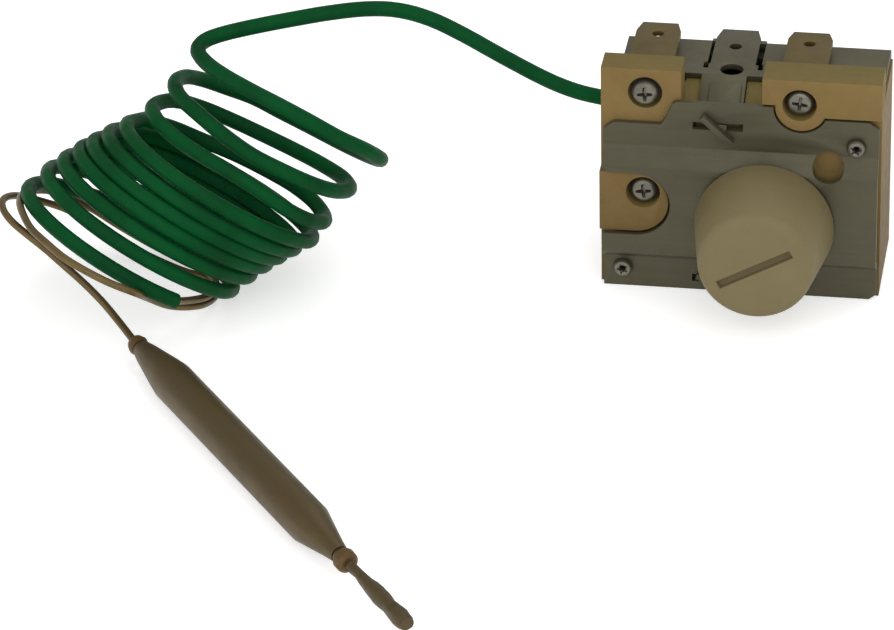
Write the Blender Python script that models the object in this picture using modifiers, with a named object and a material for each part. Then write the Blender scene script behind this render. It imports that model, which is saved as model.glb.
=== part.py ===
"""Safety temperature limiter with a control knob, a capillary and a sensing bulb.

Every named size is in millimetres, and the helpers turn it into metres.
X runs to the right, the knob points along -Y, and Z is up from the surface.
"""
import math

import bmesh
import bpy
from mathutils import Matrix, Vector

MM = 0.001
FIT = 0.3
RUN = 0.08
# Every piece moves by this at the end, which puts the origin under the middle of the body
FRAME_SHIFT = (0.1, 5.55, 0.0)

# Ceramic body
BODY_LEFT = -19.7
BODY_RIGHT = 19.5
BODY_FRONT = -8.4
BODY_REAR = 8.4
BODY_TOP = 28.8
BLOCK_TOP = 33.8
BLOCK_REAR = -3.85
LEFT_BLOCK_EDGE = -8.5
RIGHT_BLOCK_EDGE = 2.9
SHOULDER_TOP = 27.0
SIDE_TOP = 27.0
SHOULDER_REAR = -1.0
PROUD_FRONT = -9.4
WALL = 2.0
CAVITY_LEFT = -16.9
CAVITY_RIGHT = 16.3
CAVITY_BOTTOM = 4.2
CAVITY_TOP = 23.4
CHAMBER_TOP = 27.6

# Sheet metal
SHEET = 0.8
JOINED_SHEET = 0.78
LUG_SHEET = 0.74
PLATE_FACE = -9.52
PANEL_FACE = -11.0
PLATE_HALF = 19.2
PLATE_EDGE_Z = 25.9
PLATE_RIGHT_Z = 27.9
TONGUE_TOP = 29.55
TONGUE_LEFT = -9.5
TONGUE_RIGHT = 4.0
PANEL_BOTTOM = 6.2
PANEL_TOP = 19.6
FLANGE_TOP = 5.0
UPPER_BEND = 22.4
BEND_RADIUS = 0.7
BOSS = (8.3, 29.6)
BOSS_CUT_RADIUS = 3.85
NOTCH = (-14.6, 13.9)
NOTCH_RADIUS = 4.9
SLOT_SIZE = (7.0, 1.16)
SLOT_X = -3.22
UPPER_SLOT_Z = 26.03
LOWER_SLOT_Z = 1.85
FIXING_HOLE = (12.3, 21.0)
FIXING_RADIUS = 2.2
UPPER_RIVET = (16.1, 24.0)
LOWER_RIVET = (-16.5, 3.0)
RIVET_HEAD_RADIUS = 1.3
RIVET_RADIUS = 0.75
RIVET_BORE = 0.45

# Yoke that wraps the ceramic
ARM_LEFT = -17.9
ARM_RIGHT = PLATE_HALF
ARM_FRONT = -1.3
ARM_Z = 29.54
WEB_Y = 9.2
STRAP_WIDTH = 6.3
LOWER_ARM_HALF = 5.4
LUG_WIDTH = 5.8
LUG_LENGTH = 1.2
LUG_NECK = (2.4, 0.6)
UPPER_LUG_TWIST = -43.0
LOWER_LUG_TWIST = -19.0
LUG_STEPS = 4
EARTH_LEFT = -5.55
EARTH_RIGHT = 0.75
EARTH_END = 12.6
EARTH_SHOULDER = 10.0
EARTH_SLOT = 0.9
EARTH_SLOT_FRONT = 2.0
EARTH_SMALL_HOLE = (-2.6, 7.4, 0.88)
EARTH_LARGE_HOLE = (-2.36, 0.4, 1.65)

# Terminals and their screws
TAB_WIDTH = 6.3
TAB_Z = 31.5
TAB_CHAMFER = 0.65
LEG_Y = -5.2
SHELF_Z = 26.9
INNER_LEG_Y = 1.6
INNER_LEG_BOTTOM = 9.6
NARROW_LEG = 4.5
LEFT_TERMINAL_X = -13.45
RIGHT_TERMINAL_X = 8.0
LEFT_TAB = {"end": 9.7, "shoulder": 7.2, "hole": 6.3}
RIGHT_TAB = {"end": 9.1, "shoulder": 7.0, "hole": 5.6}
TAB_HOLE_RADIUS = 0.83
LOWER_TERMINAL_Y = -5.7
SCREW_RADIUS = 1.0
SCREW_HOLE = 1.3
HEAD_RADIUS = 1.85
HEAD_HEIGHT = 1.3
WASHER_RADIUS = 2.1
WASHER_THICKNESS = 0.5
RECESS_RADIUS = 2.4
SCREWS = (
    {"name": "left", "x": -13.5, "z": 30.2, "seat": -6.7, "tip": -4.75},
    {"name": "right", "x": 8.1, "z": 30.0, "seat": -6.7, "tip": -4.75},
    {"name": "lower", "x": -13.55, "z": 15.5, "seat": -7.7, "tip": -4.9},
)
D_BOSS_FRONT = -10.4

# Spindle, knob and adjuster
AXIS_X = 3.55
AXIS_Z = 11.8
KNOB_BASE = -11.6
KNOB_FACE = -23.7
KNOB_BASE_RADIUS = 9.8
KNOB_FACE_RADIUS = 8.12
KNOB_ROUND = 1.5
KNOB_WALL = 1.5
KNOB_FLOOR = 1.8
HUB_RADIUS = 4.2
HUB_BORE = 2.4
KNOB_SLOT = (11.5, 1.25, 0.9)
KNOB_SLOT_CENTRE = (3.5, 11.63)
KNOB_SLOT_ANGLE = 28.7
SPINDLE_RADIUS = 2.5
SPINDLE_NECK = 2.1
SPINDLE_FRONT = -19.5
SPINDLE_STEP = -11.9
SPINDLE_REAR = -3.7
BUSH_NECK_RADIUS = 3.3
BUSH_RADIUS = 4.2
BUSH_FRONT = -11.3
BUSH_STEP = -9.9
BUSH_REAR = -6.0
NUT_SIDE = 9.0
NUT_FRONT = -5.5
NUT_REAR = -3.2
CAPSULE_RADIUS = 7.2
CAPSULE_FRONT = -2.9
CAPSULE_REAR = -0.5

# Switch
PIN_RADIUS = 1.1
PIN_FRONT = 0.1
BLADE_Y = 4.1
BLADE_THICKNESS = 0.4
BLADE_LEFT = -15.9
BLADE_RIGHT = 9.9
BLADE_HEIGHT = 4.0
BLADE_PIVOT = (-11.05, 4.3, 11.8)
CONTACT_RADIUS = 1.5
CONTACT_HEIGHT = 0.6

# Capillary, its sleeve and the bulb
SLEEVE_RADIUS = 1.1
WIRE_RADIUS = 0.53
EXIT = (BODY_LEFT, 0.0, 24.5)
FERRULE_RADIUS = 1.6
FERRULE_BORE = 0.75
INNER_ROUTE = (
    (-16.4, 0.0, 24.5), (-14.0, -0.2, 24.4), (-10.0, -0.8, 23.0), (-6.0, -1.4, 20.4), (-2.2, -1.7, 17.6),
)
COIL_RADIUS = 14.8
COIL_RIGHT = (0.885, -0.119, -0.451)
COIL_REAR = (-0.047, 0.939, -0.340)
COIL_FIRST = (-71.7, -15.3, 16.6)
COIL_LAST = (-85.5, -22.0, 8.9)
COIL_TOP_INSET = 1.45
COIL_BOTTOM_INSET = 1.3
BULB_RADIUS = 2.95
BULB_COLLAR = (-80.8, -38.7)
BULB_TAIL_END = (-32.1, -105.3)
BULB_STATIONS = {"shoulder": 12.4, "cylinder_end": 54.4, "lower_collar": 65.0, "tail_end": 82.4}

LEAD_ROUTE = (
    (-20.05, 0.0, 24.5), (-24.2, -0.1, 25.4), (-28.5, -0.2, 27.1), (-34.6, 0.3, 30.0), (-40.3, 0.8, 32.9),
    (-45.0, 1.0, 35.0), (-49.5, 0.8, 36.2), (-53.9, 0.1, 36.5), (-58.9, -1.1, 36.2), (-64.0, -2.5, 35.6),
    (-69.0, -3.9, 34.9), (-73.3, -5.3, 34.2), (-75.8, -6.9, 33.7), (-76.3, -9.4, 33.4),
    (-74.4, -12.9, 33.4), (-71.2, -16.4, 33.2), (-67.1, -19.1, 32.5), (-62.7, -20.5, 31.1),
    (-58.6, -20.7, 29.0), (-54.8, -19.4, 26.3), (-51.8, -16.8, 23.3), (-50.4, -13.2, 20.2),
    (-51.0, -9.1, 17.6), (-53.8, -5.0, 16.1), (-58.0, -1.5, 15.9), (-62.6, 0.9, 16.8),
    (-67.0, 2.1, 18.3), (-70.7, 2.2, 20.2), (-74.0, 1.0, 22.1), (-77.0, -1.4, 24.5),
    (-78.7, -5.2, 26.7), (-79.1, -10.1, 28.2), (-77.6, -14.9, 28.7), (-74.5, -19.0, 28.5),
    (-70.4, -22.3, 27.2), (-66.2, -24.2, 25.4), (-62.3, -24.4, 23.5), (-58.5, -22.7, 20.7),
    (-55.7, -18.9, 17.6), (-54.6, -13.6, 15.1), (-56.4, -8.4, 13.9), (-60.2, -4.3, 13.7),
    (-64.6, -1.6, 14.3), (-69.1, -0.2, 15.6), (-73.4, -0.2, 17.6), (-77.2, -2.0, 20.2),
    (-80.3, -5.9, 23.1), (-81.9, -11.5, 25.0), (-80.7, -16.6, 25.8), (-77.6, -20.8, 25.6),
    (-73.5, -23.9, 24.8), (-69.1, -25.7, 23.4), (-64.9, -26.1, 20.9), (-61.3, -24.8, 17.4),
    (-58.6, -21.2, 13.8), (-57.8, -15.9, 11.2), (-60.0, -10.4, 10.6), (-63.7, -6.2, 10.9),
    (-68.2, -3.5, 11.8), (-72.9, -2.3, 13.4), (-77.4, -2.7, 15.5), (-81.3, -4.6, 18.3),
    (-83.9, -8.5, 21.1), (-84.4, -13.8, 23.2),
)
WIRE_ROUTE = (
    (-75.7, -32.4, 5.4), (-73.1, -29.3, 4.6), (-72.2, -25.0, 3.1), (-72.4, -20.6, 1.7),
    (-74.0, -16.8, 1.1), (-77.8, -13.2, 1.0), (-83.6, -9.2, 1.4), (-89.2, -7.2, 3.3),
    (-93.0, -6.9, 5.6), (-95.9, -8.2, 8.0), (-98.2, -11.0, 10.5), (-99.6, -15.2, 12.8),
    (-99.9, -20.3, 15.0), (-99.2, -25.3, 16.4), (-97.7, -29.7, 16.9), (-95.8, -33.2, 16.7),
    (-93.2, -36.0, 16.3), (-90.3, -38.1, 15.3), (-87.0, -39.2, 14.0), (-83.7, -39.3, 12.4),
    (-80.5, -38.4, 10.6), (-78.4, -34.2, 6.2), (-76.3, -31.9, 3.5), (-71.9, -30.4, 3.7),
    (-70.9, -25.5, 1.6), (-71.3, -20.8, 0.8), (-74.3, -16.6, 0.7), (-79.0, -14.2, 0.7),
    (-84.4, -11.4, 1.2), (-89.3, -9.6, 2.9), (-93.2, -9.3, 5.2), (-96.6, -10.5, 7.6),
    (-99.4, -13.0, 10.0), (-101.2, -16.3, 12.4), (-102.2, -19.7, 14.1), (-102.4, -22.6, 14.8),
    (-101.5, -25.3, 14.8), (-99.9, -27.3, 14.3), (-97.6, -28.6, 13.2), (-95.0, -29.3, 11.5),
    (-92.4, -29.8, 9.4), (-89.5, -30.6, 7.2), (-86.6, -32.0, 5.1), (-84.0, -34.4, 3.7),
    (-80.98, -38.46, 2.98),
)


# Scene helpers
def clear_scene():
    """Remove every object that the file opened with."""
    for obj in list(bpy.data.objects):
        bpy.data.objects.remove(obj, do_unlink=True)


def new_collection(name):
    """Make a collection in the scene."""
    coll = bpy.data.collections.new(name)
    bpy.context.scene.collection.children.link(coll)
    return coll


def make_material(name, colour, roughness, metallic=0.0):
    """Make a Principled material."""
    mat = bpy.data.materials.new(name)
    mat.use_nodes = True
    shader = mat.node_tree.nodes["Principled BSDF"]
    shader.inputs["Base Color"].default_value = (*colour, 1.0)
    shader.inputs["Roughness"].default_value = roughness
    shader.inputs["Metallic"].default_value = metallic
    return mat


def add_object(name, data, coll, mat=None):
    """Link new data to a collection as a named object."""
    obj = bpy.data.objects.new(name, data)
    coll.objects.link(obj)
    if mat is not None:
        obj.data.materials.append(mat)
    return obj


# Shape helpers
def box(name, low, high, coll, mat=None):
    """Make a box between two corners."""
    mesh = bpy.data.meshes.new(name)
    bm = bmesh.new()
    bmesh.ops.create_cube(bm, size=1.0)
    size = [(b - a) * MM for a, b in zip(low, high)]
    bmesh.ops.scale(bm, vec=size, verts=bm.verts)
    bm.to_mesh(mesh)
    bm.free()
    obj = add_object(name, mesh, coll, mat)
    obj.location = [(a + b) / 2 * MM for a, b in zip(low, high)]
    return obj


def curve_to_mesh(obj):
    """Replace a curve by its closed mesh in the same place."""
    bpy.context.view_layer.update()
    evaluated = obj.evaluated_get(bpy.context.evaluated_depsgraph_get())
    mesh = bpy.data.meshes.new_from_object(evaluated)
    bm = bmesh.new()
    bm.from_mesh(mesh)
    bmesh.ops.remove_doubles(bm, verts=bm.verts, dist=1e-7)
    bm.to_mesh(mesh)
    bm.free()
    name, place, coll = obj.name, obj.matrix_world.copy(), obj.users_collection[0]
    bpy.data.objects.remove(obj, do_unlink=True)
    mesh.name = name
    new = bpy.data.objects.new(name, mesh)
    coll.objects.link(new)
    new.matrix_world = place
    return new


PRISM_TURNS = {
    "X": (math.radians(90), 0.0, math.radians(90)),
    "Y": (math.radians(90), 0.0, 0.0),
    "Z": (0.0, 0.0, 0.0),
}


def prism(name, outline, axis, low, high, coll, mat=None):
    """Extrude a flat outline along an axis.

    The outline is in Y and Z for an axis of X, in X and Z for Y, and in X and Y for Z.
    """
    curve = bpy.data.curves.new(name, "CURVE")
    curve.dimensions = "2D"
    curve.fill_mode = "BOTH"
    curve.extrude = (high - low) / 2 * MM
    spline = curve.splines.new("POLY")
    spline.points.add(len(outline) - 1)
    for point, (u, v) in zip(spline.points, outline):
        point.co = (u * MM, v * MM, 0.0, 1.0)
    spline.use_cyclic_u = True
    obj = add_object(name, curve, coll, mat)
    obj.rotation_euler = PRISM_TURNS[axis]
    middle = (low + high) / 2 * MM
    obj.location = {"X": (middle, 0, 0), "Y": (0, middle, 0), "Z": (0, 0, middle)}[axis]
    return curve_to_mesh(obj)


TURN_TO = {
    "Y": (math.radians(-90), 0.0, 0.0),
    "-Y": (math.radians(90), 0.0, 0.0),
    "X": (0.0, math.radians(90), 0.0),
    "Z": (0.0, 0.0, 0.0),
}


def turned(name, profile, place, direction, coll, mat=None, steps=32):
    """Turn a closed profile of (radius, height) points about an axis.

    The profile runs down the outer side, and heights run along the direction.
    """
    mesh = bpy.data.meshes.new(name)
    verts = [(r * MM, 0.0, h * MM) for r, h in profile]
    edges = [(i, i + 1) for i in range(len(verts) - 1)]
    if profile[0][0] > 0.0:
        edges.append((len(verts) - 1, 0))
    mesh.from_pydata(verts, edges, [])
    obj = add_object(name, mesh, coll, mat)
    screw = obj.modifiers.new("Screw", "SCREW")
    screw.steps = steps
    screw.render_steps = steps
    screw.use_merge_vertices = True
    screw.merge_threshold = 1e-6
    screw.use_smooth_shade = True
    obj.location = [c * MM for c in place]
    obj.rotation_euler = TURN_TO[direction]
    return obj


def rod(name, radius, low, high, place, axis, coll, mat=None, steps=32):
    """Make a round rod between two stations on an axis through a place."""
    start = [0.0 if letter == axis else c for letter, c in zip("XYZ", place)]
    profile = ((0.0, high), (radius, high), (radius, low), (0.0, low))
    return turned(name, profile, start, axis, coll, mat, steps)


def tube(name, route, radius, coll, mat=None):
    """Make a solid tube of small diameter along a route."""
    curve = bpy.data.curves.new(name, "CURVE")
    curve.dimensions = "3D"
    curve.bevel_depth = radius * MM
    curve.bevel_resolution = 2
    curve.use_fill_caps = True
    spline = curve.splines.new("POLY")
    spline.points.add(len(route) - 1)
    for point, place in zip(spline.points, route):
        point.co = (*(Vector(place) * MM), 1.0)
    return add_object(name, curve, coll, mat)


def smooth_route(points, spacing):
    """Read evenly spaced points from a smooth curve through the route's points."""
    knots = [Vector(p) for p in points]
    knots = [2 * knots[0] - knots[1], *knots, 2 * knots[-1] - knots[-2]]
    fine = []
    for a, b, c, d in zip(knots, knots[1:], knots[2:], knots[3:]):
        for step in range(12):
            t = step / 12
            fine.append(0.5 * (2 * b + (c - a) * t + (2 * a - 5 * b + 4 * c - d) * t ** 2
                               + (3 * b - a - 3 * c + d) * t ** 3))
    fine.append(knots[-2])
    length = sum((q - p).length for p, q in zip(fine, fine[1:]))
    count = max(2, round(length / spacing))
    picked, walked, target = [fine[0]], 0.0, length / count
    for p, q in zip(fine, fine[1:]):
        step = (q - p).length
        while walked + step >= target and len(picked) < count:
            picked.append(p.lerp(q, (target - walked) / step))
            target += length / count
        walked += step
    picked.append(fine[-1])
    return picked


def arc(centre, radius, start, end, steps):
    """List points on an arc, with angles in degrees."""
    angles = [math.radians(start + (end - start) * i / steps) for i in range(steps + 1)]
    return [(centre[0] + radius * math.cos(a), centre[1] + radius * math.sin(a)) for a in angles]


def rounded(path, radius, steps=4):
    """Round the inner corners of an open path."""
    points = [Vector(p) for p in path]
    out = [tuple(points[0])]
    for before, corner, after in zip(points, points[1:], points[2:]):
        back = (before - corner).normalized()
        ahead = (after - corner).normalized()
        half = back.angle(ahead) / 2
        reach = min(radius / math.tan(half), (before - corner).length * 0.45, (after - corner).length * 0.45)
        start, end = corner + back * reach, corner + ahead * reach
        for i in range(steps + 1):
            t = i / steps
            out.append(tuple((1 - t) ** 2 * start + 2 * t * (1 - t) * corner + t ** 2 * end))
    out.append(tuple(points[-1]))
    return out


def ribbon(path, thickness):
    """Make the closed outline of a strip of even thickness along a path."""
    points = [Vector(p) for p in path]
    sides = []
    for i, point in enumerate(points):
        before = (point - points[max(i - 1, 0)])
        after = (points[min(i + 1, len(points) - 1)] - point)
        before = before.normalized() if before.length else after.normalized()
        after = after.normalized() if after.length else before
        normal = Vector((-(before + after).y, (before + after).x)).normalized()
        stretch = 1 / max(normal.dot(Vector((-before.y, before.x))), 0.5)
        sides.append(normal * stretch * thickness / 2)
    left = [tuple(p + s) for p, s in zip(points, sides)]
    right = [tuple(p - s) for p, s in zip(points, sides)]
    return left + right[::-1]


def combine(obj, other, operation, cutters):
    """Add an exact Boolean with another object, which becomes a cutter."""
    for coll in list(other.users_collection):
        coll.objects.unlink(other)
    cutters.objects.link(other)
    other.hide_render = True
    other.display_type = "WIRE"
    mod = obj.modifiers.new(operation.title(), "BOOLEAN")
    mod.operation = operation
    mod.solver = "EXACT"
    mod.object = other
    return obj


class Limiter:
    """Builds the pieces of the limiter in two collections."""

    def __init__(self):
        self.parts = new_collection("safety_temperature_limiter")
        self.cutters = new_collection("cutters")
        self.count = 0
        self.mats = {
            "steatite": make_material("steatite", (0.66, 0.55, 0.36), 0.6),
            "zinc_steel": make_material("zinc_steel", (0.42, 0.42, 0.38), 0.42, 0.9),
            "screw_steel": make_material("screw_steel", (0.55, 0.54, 0.5), 0.35, 1.0),
            "spring_steel": make_material("spring_steel", (0.5, 0.48, 0.44), 0.3, 1.0),
            "tab_brass": make_material("tab_brass", (0.5, 0.42, 0.3), 0.4, 1.0),
            "contact_silver": make_material("contact_silver", (0.7, 0.69, 0.66), 0.3, 1.0),
            "knob_plastic": make_material("knob_plastic", (0.72, 0.67, 0.55), 0.5),
            "capsule_steel": make_material("capsule_steel", (0.5, 0.5, 0.47), 0.3, 1.0),
            "green_sleeve": make_material("green_sleeve", (0.02, 0.2, 0.08), 0.45),
            "capillary_steel": make_material("capillary_steel", (0.32, 0.29, 0.22), 0.35, 1.0),
            "bulb_steel": make_material("bulb_steel", (0.3, 0.28, 0.22), 0.4, 1.0),
            "braze": make_material("braze", (0.32, 0.2, 0.08), 0.5, 0.8),
        }

    def cutter_name(self):
        """Name the next cutter."""
        self.count += 1
        return f"cutter_{self.count:02d}"

    def cut_box(self, obj, low, high):
        """Cut a box out of an object."""
        return combine(obj, box(self.cutter_name(), low, high, self.cutters), "DIFFERENCE", self.cutters)

    def join_box(self, obj, low, high):
        """Join a box to an object."""
        return combine(obj, box(self.cutter_name(), low, high, self.cutters), "UNION", self.cutters)

    def cut_rod(self, obj, radius, low, high, place, axis="Y", steps=32):
        """Drill a round hole along an axis."""
        drill = rod(self.cutter_name(), radius, low, high, place, axis, self.cutters, steps=steps)
        return combine(obj, drill, "DIFFERENCE", self.cutters)

    def cut_prism(self, obj, outline, axis, low, high):
        """Cut an extruded outline out of an object."""
        shape = prism(self.cutter_name(), outline, axis, low, high, self.cutters)
        return combine(obj, shape, "DIFFERENCE", self.cutters)

    # Body
    def ceramic_body(self):
        """Build the steatite body with its blocks, bosses and switch cavity."""
        mat = self.mats["steatite"]
        body = box("ceramic_base", (BODY_LEFT, BODY_FRONT, 0.0), (BODY_RIGHT, BODY_REAR, BODY_TOP), self.parts, mat)
        self.join_box(body, (BODY_LEFT, BODY_FRONT, BODY_TOP - 1), (LEFT_BLOCK_EDGE, BLOCK_REAR, BLOCK_TOP))
        self.join_box(body, (RIGHT_BLOCK_EDGE, BODY_FRONT, BODY_TOP - 1), (BODY_RIGHT, BLOCK_REAR, BLOCK_TOP))
        proud_low = PLATE_RIGHT_Z + FIT
        self.join_box(body, (BOSS[0], PROUD_FRONT, proud_low), (BODY_RIGHT, BODY_FRONT + 0.5, BLOCK_TOP))
        proud_left_low = TONGUE_TOP + FIT
        self.join_box(body, (RIGHT_BLOCK_EDGE, PROUD_FRONT, proud_left_low),
                      (BOSS[0] + 1, BODY_FRONT + 0.5, BLOCK_TOP))
        boss = rod(self.cutter_name(), BOSS_CUT_RADIUS - FIT, PROUD_FRONT, BODY_FRONT + 0.5,
                   (BOSS[0], 0, BOSS[1]), "Y", self.cutters, steps=48)
        combine(body, boss, "UNION", self.cutters)
        notch_radius = NOTCH_RADIUS - FIT
        outline = [(BODY_LEFT, NOTCH[1] - notch_radius)]
        outline += arc(NOTCH, notch_radius, -90, 90, 16)
        outline.append((BODY_LEFT, NOTCH[1] + notch_radius))
        pad = prism(self.cutter_name(), outline, "Y", D_BOSS_FRONT, BODY_FRONT + 0.5, self.cutters)
        combine(body, pad, "UNION", self.cutters)
        self.cut_box(body, (LEFT_BLOCK_EDGE, BODY_FRONT - 1, SHOULDER_TOP),
                     (RIGHT_BLOCK_EDGE, SHOULDER_REAR, BODY_TOP + 1))
        groove = [(BODY_FRONT - 1, 24.2), (SHOULDER_REAR, 28.2), (SHOULDER_REAR, 30.0), (BODY_FRONT - 1, 30.0)]
        strap_half = STRAP_WIDTH / 2 + 0.5
        self.cut_prism(body, groove, "X", SLOT_X - strap_half, SLOT_X + strap_half)
        self.cut_box(body, (SLOT_X - LOWER_ARM_HALF - 0.4, BODY_FRONT - 1, -1),
                     (SLOT_X + LOWER_ARM_HALF + 0.4, BODY_REAR + 1, LOWER_SLOT_Z + SHEET / 2 + FIT))
        self.cut_box(body, (BODY_LEFT - 1, BLOCK_REAR + FIT, SIDE_TOP), (ARM_LEFT, BODY_REAR + 1, BODY_TOP + 1))
        self.cut_box(body, (CAVITY_LEFT, BODY_FRONT + WALL, CAVITY_BOTTOM), (CAVITY_RIGHT, BODY_REAR + 1, CAVITY_TOP))
        self.cut_box(body, (EARTH_LEFT - EARTH_SLOT - FIT, 0, CAVITY_TOP - 1),
                     (EARTH_RIGHT + EARTH_SLOT + FIT, BODY_REAR - WALL, BODY_TOP + 1))
        self.cut_rod(body, FIXING_RADIUS - FIT, -12, BODY_FRONT + WALL + 1, (FIXING_HOLE[0], 0, FIXING_HOLE[1]))
        for x in (LEFT_TERMINAL_X, RIGHT_TERMINAL_X):
            self.terminal_pocket(body, x)
        for screw in SCREWS:
            place = (screw["x"], 0, screw["z"])
            self.cut_rod(body, RECESS_RADIUS, -12, screw["seat"], place)
            self.cut_rod(body, SCREW_HOLE, screw["seat"] - 1, -5.9, place, steps=24)
        self.cut_rod(body, BUSH_RADIUS + FIT, -12, -5.9, (AXIS_X, 0, AXIS_Z))
        for x, z in (UPPER_RIVET, LOWER_RIVET):
            self.cut_rod(body, RIVET_RADIUS + 0.25, -12, -6.6, (x, 0, z), steps=24)
        self.cut_rod(body, FERRULE_RADIUS + FIT, BODY_LEFT - 1, CAVITY_LEFT + 1, (0, EXIT[1], EXIT[2]), axis="X")
        return body

    def terminal_pocket(self, body, x):
        """Cut the slot and the chamber that hold one upper terminal."""
        half = TAB_WIDTH / 2 + FIT
        gap = SHEET / 2 + FIT
        front, rear = LEG_Y - gap, LEG_Y + gap
        self.cut_box(body, (x - half, front, CHAMBER_TOP - 1), (x + half, rear, TAB_Z + gap))
        self.cut_box(body, (x - half, front, TAB_Z - gap), (x + half, 0, TAB_Z + gap))
        self.cut_box(body, (x - half, front, CAVITY_TOP - 1), (x + half, BODY_REAR + 1, CHAMBER_TOP))

    def front_plate(self):
        """Build the joggled mounting plate with its slots and holes."""
        z = SHEET / 2
        flange, panel = PLATE_FACE + z, PANEL_FACE + z
        path = rounded([(flange, -1.0), (flange, FLANGE_TOP), (panel, PANEL_BOTTOM), (panel, PANEL_TOP),
                        (flange, UPPER_BEND), (flange, 31.0)], BEND_RADIUS)
        plate = prism("front_plate", ribbon(path, SHEET), "X", -25, 25, self.parts)
        plate.data.materials.append(self.mats["zinc_steel"])
        outline = [(-PLATE_HALF, 0.0), (18.2, 0.0), (PLATE_HALF, 0.8), (PLATE_HALF, 26.9), (17.8, PLATE_RIGHT_Z)]
        outline += arc(BOSS, BOSS_CUT_RADIUS, -26.2, -180.0, 20)
        outline += [(TONGUE_RIGHT, TONGUE_TOP), (TONGUE_LEFT + 0.6, TONGUE_TOP), (TONGUE_LEFT, 29.3)]
        outline += [(-10.6, 26.8), (-11.2, PLATE_EDGE_Z)]
        outline += [(-17.8, PLATE_EDGE_Z), (-PLATE_HALF, 24.8), (-PLATE_HALF, NOTCH[1] + NOTCH_RADIUS + 0.6)]
        outline += [(-PLATE_HALF + 0.6, NOTCH[1] + NOTCH_RADIUS)]
        outline += arc(NOTCH, NOTCH_RADIUS, 90, -90, 16)
        outline += [(-PLATE_HALF, NOTCH[1] - NOTCH_RADIUS)]
        stamp = prism(self.cutter_name(), outline, "Y", -14, -7, self.cutters)
        combine(plate, stamp, "INTERSECT", self.cutters)
        half_w, half_h = SLOT_SIZE[0] / 2, SLOT_SIZE[1] / 2
        for slot_z in (UPPER_SLOT_Z, LOWER_SLOT_Z):
            self.cut_box(plate, (SLOT_X - half_w, -14, slot_z - half_h), (SLOT_X + half_w, -7, slot_z + half_h))
        self.cut_rod(plate, FIXING_RADIUS, -14, -7, (FIXING_HOLE[0], 0, FIXING_HOLE[1]))
        self.cut_rod(plate, BUSH_NECK_RADIUS + FIT, -14, -7, (AXIS_X, 0, AXIS_Z))
        for x, rivet_z in (UPPER_RIVET, LOWER_RIVET):
            self.cut_rod(plate, RIVET_RADIUS + 0.25, -14, -7, (x, 0, rivet_z), steps=24)
        return plate

    def yoke(self):
        """Build the folded yoke with its straps, twisted lugs and earth tab."""
        wrap = rounded([(ARM_FRONT, ARM_Z), (WEB_Y, ARM_Z), (WEB_Y, LOWER_SLOT_Z), (ARM_FRONT, LOWER_SLOT_Z)], 0.6)
        yoke = prism("frame", ribbon(wrap, SHEET), "X", ARM_LEFT, ARM_RIGHT, self.parts)
        yoke.data.materials.append(self.mats["zinc_steel"])
        arm_low, arm_high = LOWER_SLOT_Z - 2, LOWER_SLOT_Z + SHEET / 2 + FIT
        inner_rear = WEB_Y - SHEET / 2
        self.cut_box(yoke, (ARM_LEFT - 1, ARM_FRONT - 1, arm_low), (SLOT_X - LOWER_ARM_HALF, inner_rear, arm_high))
        self.cut_box(yoke, (SLOT_X + LOWER_ARM_HALF, ARM_FRONT - 1, arm_low), (ARM_RIGHT + 1, inner_rear, arm_high))
        half = STRAP_WIDTH / 2
        strap_end = PLATE_FACE + SHEET + FIT
        upper = rounded([(0.5, ARM_Z), (ARM_FRONT, ARM_Z), (-8.4, UPPER_SLOT_Z), (strap_end, UPPER_SLOT_Z)], 0.5)
        upper_strap = ribbon(upper, JOINED_SHEET)
        strap = prism(self.cutter_name(), upper_strap, "X", SLOT_X - half, SLOT_X + half, self.cutters)
        combine(yoke, strap, "UNION", self.cutters)
        self.join_box(yoke, (SLOT_X - half, strap_end, LOWER_SLOT_Z - JOINED_SHEET / 2),
                      (SLOT_X + half, 0, LOWER_SLOT_Z + JOINED_SHEET / 2))
        for z, twist in ((UPPER_SLOT_Z, UPPER_LUG_TWIST), (LOWER_SLOT_Z, LOWER_LUG_TWIST)):
            combine(yoke, self.twisted_lug(z, twist), "UNION", self.cutters)
        self.earth_tab(yoke)
        return yoke

    def twisted_lug(self, z, twist):
        """Make the end of a strap: a neck through the plate's slot and a flat head turned across it."""
        start = PLATE_FACE + SHEET + FIT + 0.4
        through = start - PLATE_FACE + 0.05
        head = start - PLATE_FACE + FIT
        rings = [(0.0, 0.0, LUG_NECK)]
        for step in range(LUG_STEPS + 1):
            share = step / LUG_STEPS
            rings.append((through + (head - through) * share, twist * share, LUG_NECK))
        rings += [(head, twist, (LUG_WIDTH, LUG_SHEET)), (head + LUG_LENGTH, twist, (LUG_WIDTH, LUG_SHEET))]
        mesh = bpy.data.meshes.new(self.cutter_name())
        bm = bmesh.new()
        loops = []
        for station, angle, (wide, thick) in rings:
            turn = Matrix.Rotation(math.radians(angle), 3, "Z")
            corners = ((-wide, -thick), (wide, -thick), (wide, thick), (-wide, thick))
            loops.append([bm.verts.new(turn @ Vector((u / 2, v / 2, station)) * MM) for u, v in corners])
        bm.faces.new(loops[0])
        bm.faces.new(loops[-1])
        for one, two in zip(loops, loops[1:]):
            for i in range(4):
                bm.faces.new((one[i - 1], one[i], two[i], two[i - 1]))
        bmesh.ops.triangulate(bm, faces=bm.faces)
        bmesh.ops.recalc_face_normals(bm, faces=bm.faces)
        bm.to_mesh(mesh)
        bm.free()
        lug = bpy.data.objects.new(mesh.name, mesh)
        self.cutters.objects.link(lug)
        lug.location = (SLOT_X * MM, start * MM, z * MM)
        lug.rotation_euler = TURN_TO["-Y"]
        return lug

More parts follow.
